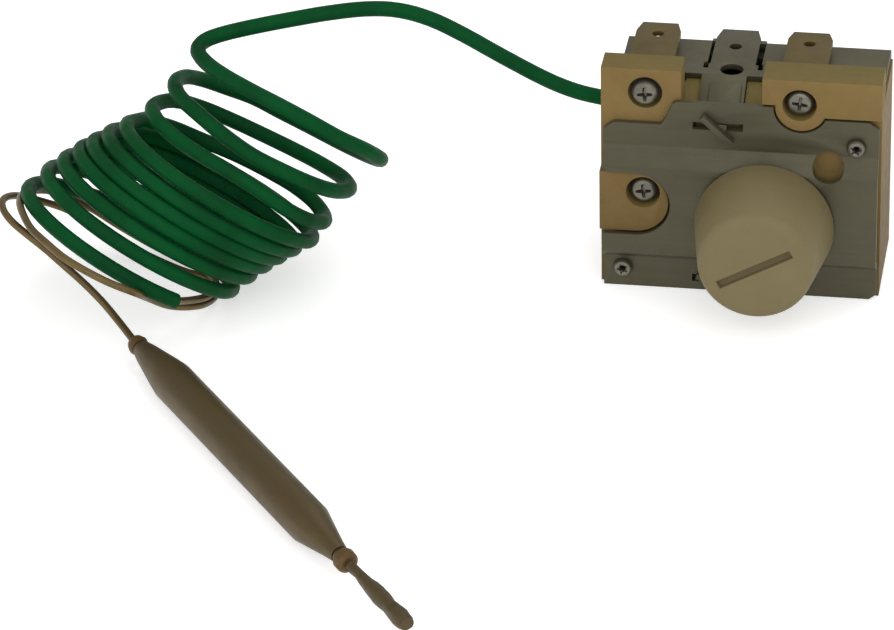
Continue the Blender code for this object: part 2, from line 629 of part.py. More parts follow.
    def earth_tab(self, yoke):
        """Cut the earth tab free of the arm and the web, and let it reach the rear."""
        top, under = ARM_Z + SHEET / 2, ARM_Z - SHEET / 2
        self.cut_box(yoke, (EARTH_LEFT - EARTH_SLOT / 2, WEB_Y - 0.6, under - 3.4),
                     (EARTH_RIGHT + EARTH_SLOT, WEB_Y + 1, top + 1))
        tab_low, tab_high = ARM_Z - JOINED_SHEET / 2, ARM_Z + JOINED_SHEET / 2
        self.join_box(yoke, (EARTH_LEFT - 0.2, WEB_Y - 1.5, tab_low), (EARTH_RIGHT + 0.2, EARTH_END, tab_high))
        beyond = EARTH_END + 1
        self.cut_box(yoke, (EARTH_LEFT - EARTH_SLOT / 2, EARTH_SLOT_FRONT, under - 1),
                     (EARTH_LEFT, beyond, top + 1))
        self.cut_box(yoke, (EARTH_RIGHT, EARTH_SLOT_FRONT, under - 1),
                     (EARTH_RIGHT + EARTH_SLOT, beyond, top + 1))
        self.cut_box(yoke, (EARTH_LEFT - 0.9, 0.6, under - 1), (EARTH_LEFT - 0.2, 2.4, top + 1))
        self.cut_box(yoke, (EARTH_RIGHT + 0.45, 0.6, under - 1), (EARTH_RIGHT + 1.15, 2.4, top + 1))
        for edge, side in ((EARTH_LEFT, -1), (EARTH_RIGHT, 1)):
            corner = [(edge, EARTH_SHOULDER), (edge - side * TAB_CHAMFER, EARTH_END + 0.01),
                      (edge + side, beyond), (edge + side, EARTH_SHOULDER)]
            self.cut_prism(yoke, corner, "Z", under - 1, top + 1)
        for x, y, radius in (EARTH_SMALL_HOLE, EARTH_LARGE_HOLE):
            self.cut_rod(yoke, radius, under - 1, top + 1, (x, y, 0), axis="Z", steps=24)

    def rivet(self, name, x, z):
        """Build a hollow rivet that holds the plate to the ceramic."""
        head_front, head_rear, end = PLATE_FACE - FIT - 0.6, PLATE_FACE - FIT, -6.9
        profile = ((RIVET_BORE, end), (RIVET_BORE, head_front), (RIVET_HEAD_RADIUS - 0.3, head_front),
                   (RIVET_HEAD_RADIUS, head_front + 0.3), (RIVET_HEAD_RADIUS, head_rear),
                   (RIVET_RADIUS, head_rear), (RIVET_RADIUS, end))
        return turned(name, [(r, -h) for r, h in profile], (x, 0, z), "-Y", self.parts,
                      self.mats["screw_steel"], steps=24)

    # Terminals
    def upper_terminal(self, name, x, tab, narrow):
        """Build one folded brass terminal with its push-on tab."""
        path = rounded([(tab["end"], TAB_Z), (LEG_Y, TAB_Z), (LEG_Y, SHELF_Z), (INNER_LEG_Y, SHELF_Z),
                        (INNER_LEG_Y, INNER_LEG_BOTTOM)], 0.5)
        half = TAB_WIDTH / 2
        terminal = prism(name, ribbon(path, SHEET), "X", x - half, x + half, self.parts)
        terminal.data.materials.append(self.mats["tab_brass"])
        for side in (-1, 1):
            corner = [(x + side * half, tab["shoulder"]), (x + side * (half - TAB_CHAMFER), tab["end"] + 0.01),
                      (x + side * (half + 1), tab["end"] + 1), (x + side * (half + 1), tab["shoulder"])]
            self.cut_prism(terminal, corner, "Z", TAB_Z - 1, TAB_Z + 1)
        self.cut_rod(terminal, TAB_HOLE_RADIUS, TAB_Z - 1, TAB_Z + 1, (x, tab["hole"], 0), axis="Z", steps=24)
        if narrow:
            low, high = (0.5, 9.0), (2.6, 20.0)
            keep = NARROW_LEG / 2
            self.cut_box(terminal, (x - half - 1, low[0], low[1]), (x - keep, high[0], high[1]))
            self.cut_box(terminal, (x + keep, low[0], low[1]), (x + half + 1, high[0], high[1]))
        return terminal

    def terminals(self):
        """Build the three terminals with their screws and washers."""
        left = self.upper_terminal("terminal_left", LEFT_TERMINAL_X, LEFT_TAB, narrow=False)
        right = self.upper_terminal("terminal_right", RIGHT_TERMINAL_X, RIGHT_TAB, narrow=True)
        lower_screw = SCREWS[2]
        half = TAB_WIDTH / 2
        lower = box("terminal_lower", (lower_screw["x"] - 2.8, LOWER_TERMINAL_Y - SHEET / 2, lower_screw["z"] - 4.2),
                    (lower_screw["x"] + half, LOWER_TERMINAL_Y + SHEET / 2, lower_screw["z"] + 3.2),
                    self.parts, self.mats["tab_brass"])
        for terminal, screw in ((left, SCREWS[0]), (right, SCREWS[1]), (lower, SCREWS[2])):
            self.cut_rod(terminal, SCREW_HOLE, -6.5, -4.45, (screw["x"], 0, screw["z"]), steps=24)
        self.cut_rod(left, 1.1, 0, 3, (LEFT_TERMINAL_X, 0, AXIS_Z), steps=24)
        for screw in SCREWS:
            self.terminal_screw(screw)

    def terminal_screw(self, screw):
        """Build one cross-recessed pan-head screw and its washer."""
        place = (screw["x"], 0, screw["z"])
        washer_rear = screw["seat"] - FIT
        washer_front = washer_rear - WASHER_THICKNESS
        washer_profile = ((SCREW_HOLE, -washer_front), (WASHER_RADIUS, -washer_front),
                          (WASHER_RADIUS, -washer_rear), (SCREW_HOLE, -washer_rear))
        turned("washer_" + screw["name"], washer_profile, place, "-Y", self.parts, self.mats["screw_steel"])
        under = -(washer_front - FIT)
        top = under + HEAD_HEIGHT
        profile = ((0.0, top), (HEAD_RADIUS * 0.55, top - 0.06), (HEAD_RADIUS * 0.85, top - 0.3),
                   (HEAD_RADIUS, top - 0.7), (HEAD_RADIUS, under), (SCREW_RADIUS, under),
                   (SCREW_RADIUS, -screw["tip"]), (0.0, -screw["tip"]))
        body = turned("terminal_screw_" + screw["name"], profile, place, "-Y", self.parts,
                      self.mats["screw_steel"], steps=24)
        x, z = screw["x"], screw["z"]
        for wide, tall in ((1.0, 0.22), (0.22, 1.0)):
            self.cut_box(body, (x - wide, -top - 1, z - tall), (x + wide, -top + 0.7, z + tall))
        return body

    # Control
    def control(self):
        """Build the knob, the spindle, its bush, and the adjuster with the capsule."""
        axis = (AXIS_X, 0, AXIS_Z)
        bush_profile = ((SPINDLE_RADIUS + RUN, -BUSH_FRONT), (BUSH_NECK_RADIUS, -BUSH_FRONT),
                        (BUSH_NECK_RADIUS, -BUSH_STEP), (BUSH_RADIUS, -BUSH_STEP),
                        (BUSH_RADIUS, -BUSH_REAR), (SPINDLE_RADIUS + RUN, -BUSH_REAR))
        turned("spindle_bush", bush_profile, axis, "-Y", self.parts, self.mats["screw_steel"])
        spindle_profile = ((0.0, -SPINDLE_FRONT), (SPINDLE_NECK - 0.4, -SPINDLE_FRONT),
                           (SPINDLE_NECK, -SPINDLE_FRONT - 0.4), (SPINDLE_NECK, -SPINDLE_STEP),
                           (SPINDLE_RADIUS, -SPINDLE_STEP), (SPINDLE_RADIUS, -SPINDLE_REAR),
                           (0.0, -SPINDLE_REAR))
        spindle = turned("spindle", spindle_profile, axis, "-Y", self.parts, self.mats["screw_steel"])
        self.cut_box(spindle, (AXIS_X - 3, SPINDLE_FRONT - 1, AXIS_Z + 1.5), (AXIS_X + 3, -13.0, AXIS_Z + 4))
        self.knob(axis)
        half = NUT_SIDE / 2
        nut = box("adjusting_nut", (AXIS_X - half, NUT_FRONT, AXIS_Z - half), (AXIS_X + half, NUT_REAR, AXIS_Z + half),
                  self.parts, self.mats["tab_brass"])
        self.cut_rod(nut, SPINDLE_RADIUS + RUN, NUT_FRONT - 1, NUT_REAR + 1, axis)
        mid = (CAPSULE_FRONT + CAPSULE_REAR) / 2
        capsule_profile = ((0.0, CAPSULE_REAR), (2.2, CAPSULE_REAR), (2.6, CAPSULE_REAR - 0.3),
                           (4.6, CAPSULE_REAR - 0.3), (5.2, CAPSULE_REAR - 0.6), (6.6, mid + 0.4),
                           (CAPSULE_RADIUS, mid + 0.25), (CAPSULE_RADIUS, mid - 0.25), (6.6, mid - 0.4),
                           (5.2, CAPSULE_FRONT + 0.6), (4.6, CAPSULE_FRONT + 0.3), (2.6, CAPSULE_FRONT + 0.3),
                           (2.2, CAPSULE_FRONT), (0.0, CAPSULE_FRONT))
        turned("diaphragm_capsule", capsule_profile, axis, "Y", self.parts, self.mats["capsule_steel"], steps=48)

    def knob(self, axis):
        """Build the tapered knob with its hub and the slot on its face."""
        face, base = -KNOB_FACE, -KNOB_BASE
        slope = (KNOB_BASE_RADIUS - KNOB_FACE_RADIUS) / (face - base)
        outer = [(0.0, face)]
        centre = (KNOB_FACE_RADIUS - KNOB_ROUND, face - KNOB_ROUND)
        outer += arc(centre, KNOB_ROUND, 90, math.degrees(math.atan(slope)), 5)
        floor = face - KNOB_FLOOR
        outer += [(KNOB_BASE_RADIUS, base), (KNOB_BASE_RADIUS - KNOB_WALL, base),
                  (KNOB_BASE_RADIUS - KNOB_WALL - slope * (floor - base), floor),
                  (HUB_RADIUS, floor), (HUB_RADIUS, base + 0.3), (HUB_BORE, base + 0.3),
                  (HUB_BORE, -SPINDLE_FRONT + 0.4), (0.0, -SPINDLE_FRONT + 0.4)]
        knob = turned("knob", outer, axis, "-Y", self.parts, self.mats["knob_plastic"], steps=64)
        length, width, depth = KNOB_SLOT
        slot = box(self.cutter_name(), (-length / 2, -1, -width / 2), (length / 2, 1, width / 2), self.cutters)
        slot.location = (KNOB_SLOT_CENTRE[0] * MM, (KNOB_FACE - 1 + depth) * MM, KNOB_SLOT_CENTRE[1] * MM)
        slot.rotation_euler = (0, -math.radians(KNOB_SLOT_ANGLE), 0)
        combine(knob, slot, "DIFFERENCE", self.cutters)
        return knob

    # Switch
    def switch(self):
        """Build the push pin, the contact blade, the contacts and the blade's rivet."""
        rod("push_pin", PIN_RADIUS, PIN_FRONT, BLADE_Y - FIT, (AXIS_X, 0, AXIS_Z), "Y", self.parts,
            self.mats["steatite"], steps=24)
        half = BLADE_HEIGHT / 2
        pivot = add_object("blade_pivot", None, self.parts)
        pivot.location = [c * MM for c in BLADE_PIVOT]
        blade = box("contact_blade", (BLADE_LEFT, BLADE_Y, AXIS_Z - half),
                    (BLADE_RIGHT, BLADE_Y + BLADE_THICKNESS, AXIS_Z + half), self.parts, self.mats["spring_steel"])
        self.cut_rod(blade, 1.1, BLADE_Y - 1, BLADE_Y + 1.5, (LEFT_TERMINAL_X, 0, AXIS_Z), steps=24)
        contact = (RIGHT_TERMINAL_X, 0, AXIS_Z)
        leg_rear = INNER_LEG_Y + SHEET / 2
        rod("fixed_contact", CONTACT_RADIUS, leg_rear + FIT, leg_rear + FIT + CONTACT_HEIGHT, contact, "Y",
            self.parts, self.mats["contact_silver"], steps=24)
        moving = rod("moving_contact", CONTACT_RADIUS, BLADE_Y - FIT - CONTACT_HEIGHT, BLADE_Y - FIT, contact, "Y",
                     self.parts, self.mats["contact_silver"], steps=24)
        bpy.context.view_layer.update()
        for piece in (blade, moving):
            piece.parent = pivot
            piece.matrix_parent_inverse = pivot.matrix_world.inverted()
        leg_front = INNER_LEG_Y - SHEET / 2
        rear = BLADE_Y + BLADE_THICKNESS
        profile = ((0.0, rear + 1.0), (1.8, rear + 1.0), (1.8, rear + FIT), (0.9, rear + FIT),
                   (0.9, BLADE_Y - FIT), (2.0, BLADE_Y - FIT), (2.0, leg_rear + FIT), (0.9, leg_rear + FIT),
                   (0.9, leg_front - FIT), (1.8, leg_front - FIT), (1.8, leg_front - 0.7),
                   (0.0, leg_front - 0.7))
        turned("blade_rivet", profile, (LEFT_TERMINAL_X, 0, AXIS_Z), "Y", self.parts,
               self.mats["tab_brass"], steps=24)

    # Capillary and bulb
    def capillary(self):
        """Build the capillary's outlet, its plain cord solids and the bulb."""
        ferrule_end = 3.1
        profile = ((FERRULE_BORE, ferrule_end), (FERRULE_RADIUS, ferrule_end), (FERRULE_RADIUS, 0.0),
                   (FERRULE_BORE, 0.0))
        turned("exit_ferrule", profile, EXIT, "X", self.parts, self.mats["tab_brass"], steps=24)
        tube("inner_capillary", smooth_route(INNER_ROUTE, 1.6), WIRE_RADIUS, self.parts, self.mats["capillary_steel"])
        tube("sleeve_lead", smooth_route(LEAD_ROUTE, 4.6), SLEEVE_RADIUS, self.parts, self.mats["green_sleeve"])
        tube("capillary_tube", smooth_route(WIRE_ROUTE, 2.6), WIRE_RADIUS, self.parts, self.mats["capillary_steel"])
        self.coil_ring()
        self.bulb()

    def coil_ring(self):
        """Build the outer shape of the close turns as one turned ring that leans as they do."""
        inner, outer = COIL_RADIUS - SLEEVE_RADIUS, COIL_RADIUS + SLEEVE_RADIUS
        unit = 1 / MM
        profile = ((inner, unit), (outer, unit), (outer, 0.0), (inner, 0.0))
        ring = turned("ring_source", profile, (0, 0, 0), "Z", self.parts, steps=48)
        bpy.context.view_layer.update()
        evaluated = ring.evaluated_get(bpy.context.evaluated_depsgraph_get())
        mesh = bpy.data.meshes.new_from_object(evaluated)
        bpy.data.objects.remove(ring, do_unlink=True)
        right, rear = Vector(COIL_RIGHT).normalized(), Vector(COIL_REAR).normalized()
        normal = right.cross(rear)
        first, last = Vector(COIL_FIRST), Vector(COIL_LAST)
        along = (first - last).normalized()
        lean = along.dot(normal)
        top = (first - along * COIL_TOP_INSET / lean) * MM
        bottom = (last + along * COIL_BOTTOM_INSET / lean) * MM
        rise = top - bottom
        matrix = Matrix((
            (right.x, rear.x, rise.x, bottom.x),
            (right.y, rear.y, rise.y, bottom.y),
            (right.z, rear.z, rise.z, bottom.z),
            (0.0, 0.0, 0.0, 1.0),
        ))
        mesh.transform(matrix)
        mesh.name = "sleeve_coil"
        return add_object("sleeve_coil", mesh, self.parts, self.mats["green_sleeve"])

    def bulb(self):
        """Build the sensing bulb, its two brazed collars and its crimped tail."""
        start = Vector((*BULB_COLLAR, BULB_RADIUS + 0.02))
        end = Vector((*BULB_TAIL_END, start.z))
        turn = (end - start).to_track_quat("Z", "Y").to_euler()
        stations = BULB_STATIONS
        low, high = stations["shoulder"], stations["cylinder_end"]
        lower = stations["lower_collar"]
        collar = ((WIRE_RADIUS + 0.1, 2.0), (1.3, 2.0), (1.45, 1.2), (1.25, 0.4), (0.95, 0.0), (WIRE_RADIUS + 0.1, 0.0))
        pieces = {
            "bulb_collar_upper": (collar, "braze", 24),
            "bulb_body": (((0.0, lower - 1.8), (1.25, lower - 1.8), (1.6, lower - 4.0), (BULB_RADIUS - 0.35, high + 1.6),
                           (BULB_RADIUS, high), (BULB_RADIUS, low), (BULB_RADIUS - 0.3, low - 2.2), (1.7, 4.2),
                           (1.3, 2.3), (0.0, 2.3)), "bulb_steel", 32),
            "bulb_collar_lower": (((0.0, lower + 1.0), (1.1, lower + 1.0), (1.6, lower + 0.4), (1.65, lower - 0.7),
                                   (1.3, lower - 1.5), (0.0, lower - 1.5)), "braze", 24),
            "bulb_tail": (((0.0, stations["tail_end"]), (1.0, stations["tail_end"]), (1.3, stations["tail_end"] - 0.7),
                           (1.38, lower + 15.2), (1.15, lower + 12.4), (1.3, lower + 10.2), (1.3, lower + 8.8),
                           (1.0, lower + 6.2), (0.8, lower + 3.6), (0.8, lower + 1.3), (0.0, lower + 1.3)),
                          "bulb_steel", 24),
        }
        for name, (profile, mat, steps) in pieces.items():
            piece = turned(name, profile, start, "Z", self.parts, self.mats[mat], steps=steps)
            piece.rotation_euler = turn

    def build(self):
        """Build every piece."""
        self.ceramic_body()
        self.front_plate()
        self.yoke()
        self.rivet("rivet_upper", *UPPER_RIVET)
        self.rivet("rivet_lower", *LOWER_RIVET)
        self.terminals()
        self.control()
        self.switch()
        self.capillary()
        for coll in (self.parts, self.cutters):
            for obj in coll.objects:
                if obj.parent is None:
                    obj.location += Vector(FRAME_SHIFT) * MM


clear_scene()
Limiter().build()
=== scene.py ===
"""Looks of a safety temperature limiter: finishes, fine surfaces, capillary and stage.

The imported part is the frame. Lengths here are in millimetres, and MM turns them into
metres. X runs to the right, the knob points along -Y, and Z is up from the surface.
"""

import logging
import math
from dataclasses import dataclass, field
from enum import Enum

import bmesh
import bpy
from mathutils import Matrix, Vector, noise


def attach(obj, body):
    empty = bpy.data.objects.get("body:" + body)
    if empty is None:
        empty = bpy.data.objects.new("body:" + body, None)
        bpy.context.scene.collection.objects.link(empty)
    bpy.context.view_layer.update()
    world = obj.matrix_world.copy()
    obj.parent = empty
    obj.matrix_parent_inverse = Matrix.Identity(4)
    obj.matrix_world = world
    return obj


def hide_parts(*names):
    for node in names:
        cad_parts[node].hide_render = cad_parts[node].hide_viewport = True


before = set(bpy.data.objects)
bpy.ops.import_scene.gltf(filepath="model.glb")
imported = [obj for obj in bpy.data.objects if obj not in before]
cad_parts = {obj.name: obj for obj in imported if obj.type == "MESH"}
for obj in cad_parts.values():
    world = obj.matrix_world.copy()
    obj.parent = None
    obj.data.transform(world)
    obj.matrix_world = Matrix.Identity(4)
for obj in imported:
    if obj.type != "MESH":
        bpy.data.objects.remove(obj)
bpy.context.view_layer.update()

MM = 0.001
LOG = logging.getLogger("limiter")

# The middle of the body stands this far from the corner that the drawing measures from
DRAWING_SHIFT = Vector((0.1, 5.55, 0.0))

# Route of the sleeved capillary, from its outlet to the start of the close coil
LEAD_ROUTE = (
    (-20.05, 0.0, 24.5), (-24.2, -0.1, 25.4), (-28.5, -0.2, 27.1), (-34.6, 0.3, 30.0), (-40.3, 0.8, 32.9),
    (-45.0, 1.0, 35.0), (-49.5, 0.8, 36.2), (-53.9, 0.1, 36.5), (-58.9, -1.1, 36.2), (-64.0, -2.5, 35.6),
    (-69.0, -3.9, 34.9), (-73.3, -5.3, 34.2), (-75.8, -6.9, 33.7), (-76.3, -9.4, 33.4),
    (-74.4, -12.9, 33.4), (-71.2, -16.4, 33.4), (-67.1, -19.1, 32.8), (-62.7, -20.5, 31.4),
    (-58.6, -20.7, 29.3), (-54.8, -19.4, 26.3), (-51.8, -16.8, 23.3), (-50.4, -13.2, 20.2),
    (-51.0, -9.1, 17.6), (-53.8, -5.0, 16.1), (-58.0, -1.5, 15.9), (-62.6, 0.9, 16.8),
    (-67.0, 2.1, 18.3), (-70.7, 2.2, 20.2), (-74.0, 1.0, 22.1), (-77.3, -1.4, 24.6),
    (-79.1, -5.1, 26.9), (-79.6, -10.0, 28.5), (-78.0, -14.8, 28.9), (-74.5, -19.0, 28.5),
    (-70.4, -22.3, 27.2), (-66.2, -24.2, 25.4), (-62.3, -24.4, 23.5), (-58.5, -22.7, 20.7),
    (-55.7, -18.9, 17.6), (-54.6, -13.6, 15.1), (-56.4, -8.4, 13.9), (-60.2, -4.3, 13.7),
    (-64.6, -1.6, 14.3), (-69.1, -0.2, 15.6), (-73.4, -0.2, 17.6), (-77.5, -2.0, 20.4),
    (-80.8, -5.8, 23.4), (-82.5, -11.4, 25.4), (-81.2, -16.5, 26.1), (-77.6, -20.8, 25.6),
    (-73.5, -23.9, 24.8), (-69.1, -25.7, 23.4), (-64.9, -26.1, 20.9), (-61.3, -24.8, 17.4),
    (-58.6, -21.2, 13.8), (-57.8, -15.9, 11.2), (-60.0, -10.4, 10.6), (-63.7, -6.2, 10.9),
    (-68.2, -3.5, 11.8), (-72.9, -2.3, 13.4), (-77.4, -2.7, 15.5), (-81.3, -4.6, 18.3),
    (-84.6, -8.7, 21.7),
)

# Centres of the close turns, one turn apart
TURN_CENTRES = (
    (-72.07, -15.23, 16.48), (-74.46, -16.15, 15.39), (-76.55, -17.07, 14.4), (-78.33, -17.79, 13.51),
    (-80.42, -18.8, 12.32), (-82.6, -19.82, 10.93), (-85.19, -21.44, 8.84),
)

# Route of the bare capillary, from the end of the sleeve to the bulb
WIRE_ROUTE = (
    (-74.3, -29.2, 4.7), (-72.9, -25.6, 3.4), (-72.7, -20.8, 2.2),
    (-74.2, -16.8, 1.7), (-77.8, -13.2, 1.3), (-83.6, -9.2, 1.4), (-89.2, -7.2, 3.3),
    (-93.0, -6.9, 5.6), (-95.9, -8.2, 8.0), (-98.2, -11.0, 10.5), (-99.6, -15.2, 12.8),
    (-99.9, -20.3, 15.0), (-99.2, -25.3, 16.4), (-97.7, -29.7, 16.9), (-95.8, -33.2, 16.7),
    (-93.2, -36.0, 16.3), (-90.3, -38.1, 15.3), (-87.0, -39.2, 14.0), (-83.7, -39.3, 12.4),
    (-80.5, -38.4, 10.6), (-79.5, -33.9, 7.2), (-77.4, -31.2, 4.7), (-75.0, -28.6, 3.2),
    (-73.4, -25.2, 1.9), (-72.8, -20.9, 1.0), (-74.3, -16.4, 0.62), (-79.0, -14.2, 0.7),
    (-84.4, -11.4, 1.2), (-89.3, -9.6, 2.9), (-93.2, -9.3, 5.2), (-96.6, -10.5, 7.6),
    (-99.4, -13.0, 10.0), (-101.2, -16.3, 12.4), (-102.2, -19.7, 14.1), (-102.4, -22.6, 14.8),
    (-101.5, -25.3, 14.8), (-99.9, -27.3, 14.3), (-97.6, -28.6, 13.2), (-95.0, -29.3, 11.5),
    (-92.4, -29.8, 9.4), (-89.5, -30.6, 7.2), (-86.6, -32.0, 5.1), (-84.0, -34.4, 3.7),
    (-80.98, -38.46, 2.98),
)

# Angle above which an edge of a made or cut mesh stays sharp
CREASE = math.radians(35.0)

# Angle between faces of a copied node that count as one flat face
FLAT = math.radians(1.0)

# Distances in metres within which points of a turned or a copied mesh are joined
TURNED_WELD = 1e-7
COPIED_WELD = 1e-6

# Steps round a turned piece
TURNED_STEPS = 48

# Length of a dent in millimetres
DENT_LENGTH = 1.3

# Heights of a screw above its seat: underside of the head and top of the head
HEAD_UNDER = 1.1
HEAD_TOP = 2.4

# Length by which a recess's cutter stands out of the recess
CUTTER_REACH = 0.4

Colour = tuple[float, float, float]
Triple = tuple[float, float, float]
Range = tuple[float, float]


class Body(Enum):
    """Rigid bodies of the frame that pieces ride on."""

    BASE = "base"
    CONTROL = "control"
    ADJUSTER = "adjuster"
    BLADE = "blade"
    PIN = "pin"


# Shader building
class Graph:
    """A Principled material whose nodes are added by short calls."""

    def __init__(self, name: str) -> None:
        """Start a material with an empty Principled shader.

        Args:
            name: Name of the material.
        """
        self.material = bpy.data.materials.new(name)
        self.material.use_nodes = True
        self.tree = self.material.node_tree
        self.shader = self.tree.nodes["Principled BSDF"]
        self.place = self.tree.nodes.new("ShaderNodeTexCoord").outputs["Object"]
        self.faces_up = self.axis(self.tree.nodes.new("ShaderNodeNewGeometry").outputs["Normal"], "Z")

    def node(self, kind: str, inputs: dict, **settings: object) -> bpy.types.Node:
        """Add a node.

        Args:
            kind: Blender's name of the node type.
            inputs: Socket name or index to a value or to another socket.
            settings: Attributes of the node.

        Returns:
            The new node.
        """
        made = self.tree.nodes.new(kind)
        for key, value in settings.items():
            setattr(made, key, value)
        for key, value in inputs.items():
            if isinstance(value, bpy.types.NodeSocket):
                self.tree.links.new(value, made.inputs[key])
            else:
                made.inputs[key].default_value = value
        return made

    def axis(self, vector: bpy.types.NodeSocket, letter: str) -> bpy.types.NodeSocket:
        """Return one coordinate of a vector socket, X, Y or Z."""
        return self.node("ShaderNodeSeparateXYZ", {"Vector": vector}).outputs[letter]

    def along(self, letter: str) -> bpy.types.NodeSocket:
        """Return one of the object's coordinates, X, Y or Z, in metres."""
        return self.axis(self.place, letter)

    def stretched(self, scale: Triple) -> bpy.types.NodeSocket:
        """Return the object's coordinates, multiplied axis by axis."""
        mapping = self.node("ShaderNodeMapping", {"Vector": self.place, "Scale": scale})
        return mapping.outputs["Vector"]

    def noise(self, scale: float, detail: float = 3.0, rough: float = 0.5,
              vector: bpy.types.NodeSocket | None = None) -> bpy.types.NodeSocket:
        """Return a noise value from 0 to 1.

        Args:
            scale: Waves per metre.
            detail: Octaves.
            rough: Strength of each octave against the last.
            vector: Coordinates, or the object's own if left out.

        Returns:
            The noise factor.
        """
        made = self.node("ShaderNodeTexNoise", {"Vector": vector or self.place, "Scale": scale,
                                                "Detail": detail, "Roughness": rough})
        return made.outputs["Fac"]

    def remap(self, value: bpy.types.NodeSocket, low: float, high: float,
              to_low: float = 0.0, to_high: float = 1.0) -> bpy.types.NodeSocket:
        """Map a value from one range to another, clamped.

        Args:
            value: Socket to read.
            low: Start of the range read.
            high: End of the range read.
            to_low: Result at low.
            to_high: Result at high.

        Returns:
            The mapped value.
        """
        made = self.node("ShaderNodeMapRange", {"Value": value, "From Min": low, "From Max": high,
                                                "To Min": to_low, "To Max": to_high})
        return made.outputs["Result"]

    def math(self, operation: str, a: object, b: object) -> bpy.types.NodeSocket:
        """Return the result of a Math node on two values or sockets."""
        return self.node("ShaderNodeMath", {0: a, 1: b}, operation=operation).outputs[0]

    def near(self, letter: str, middle: float, half: Range) -> bpy.types.NodeSocket:
        """Mark a band of one of the object's coordinates.

        Args:
            letter: Coordinate, X, Y or Z.
            middle: Middle of the band in metres.
            half: Distances from the middle at which the band starts to fade and ends.

        Returns:
            1 in the band and 0 outside it.
        """
        away = self.math("ABSOLUTE", self.math("SUBTRACT", self.along(letter), middle), 0.0)
        return self.remap(away, *half, 1.0, 0.0)

    def mix(self, factor: object, a: object, b: object) -> bpy.types.NodeSocket:
        """Mix two colours.

        Args:
            factor: Share of the second colour, a number or a socket.
            a: First colour or socket.
            b: Second colour or socket.

        Returns:
            The mixed colour.
        """
        made = self.node("ShaderNodeMix", {}, data_type="RGBA")
        for index, value in ((0, factor), (6, a), (7, b)):
            if isinstance(value, bpy.types.NodeSocket):
                self.tree.links.new(value, made.inputs[index])
            elif index == 0:
                made.inputs[index].default_value = value
            else:
                made.inputs[index].default_value = (*value, 1.0)
        return made.outputs[2]

    def bump(self, height: bpy.types.NodeSocket, distance: float, strength: float = 1.0) -> None:
        """Add a bump to the shader's normal, over any that is there.

        Args:
            height: Height from 0 to 1.
            distance: Height in metres that 1 stands for.
            strength: Share of the bump.
        """
        before = self.shader.inputs["Normal"].links
        inputs = {"Height": height, "Distance": distance, "Strength": strength}
        if before:
            inputs["Normal"] = before[0].from_socket
        made = self.node("ShaderNodeBump", inputs)
        self.tree.links.new(made.outputs["Normal"], self.shader.inputs["Normal"])

    def put(self, name: str, value: object) -> None:
        """Set or link one socket of the shader."""
        if isinstance(value, bpy.types.NodeSocket):
            self.tree.links.new(value, self.shader.inputs[name])
        elif isinstance(value, tuple):
            self.shader.inputs[name].default_value = (*value, 1.0)
        else:
            self.shader.inputs[name].default_value = value


# Finishes
@dataclass(frozen=True)
class Finish:
    """One surface finish, named for the record's material slot it paints.

    Attributes:
        slot: Material slot of the record.
        colour: Main colour, linear.
        roughness: Middle roughness.
        variant: End of the material's name where a slot has more than one finish.
    """

    slot: str
    colour: Colour
    roughness: float = 0.5
    variant: str = ""

    def shade(self, graph: Graph) -> None:
        """Add this finish's nodes to a graph."""
        raise NotImplementedError

    def material(self) -> bpy.types.Material:
        """Return the material, made the first time it is asked for."""
        name = f"{self.slot}{self.variant}_finish"
        known = bpy.data.materials.get(name)
        if known:
            return known
        graph = Graph(name)
        self.shade(graph)
        return graph.material


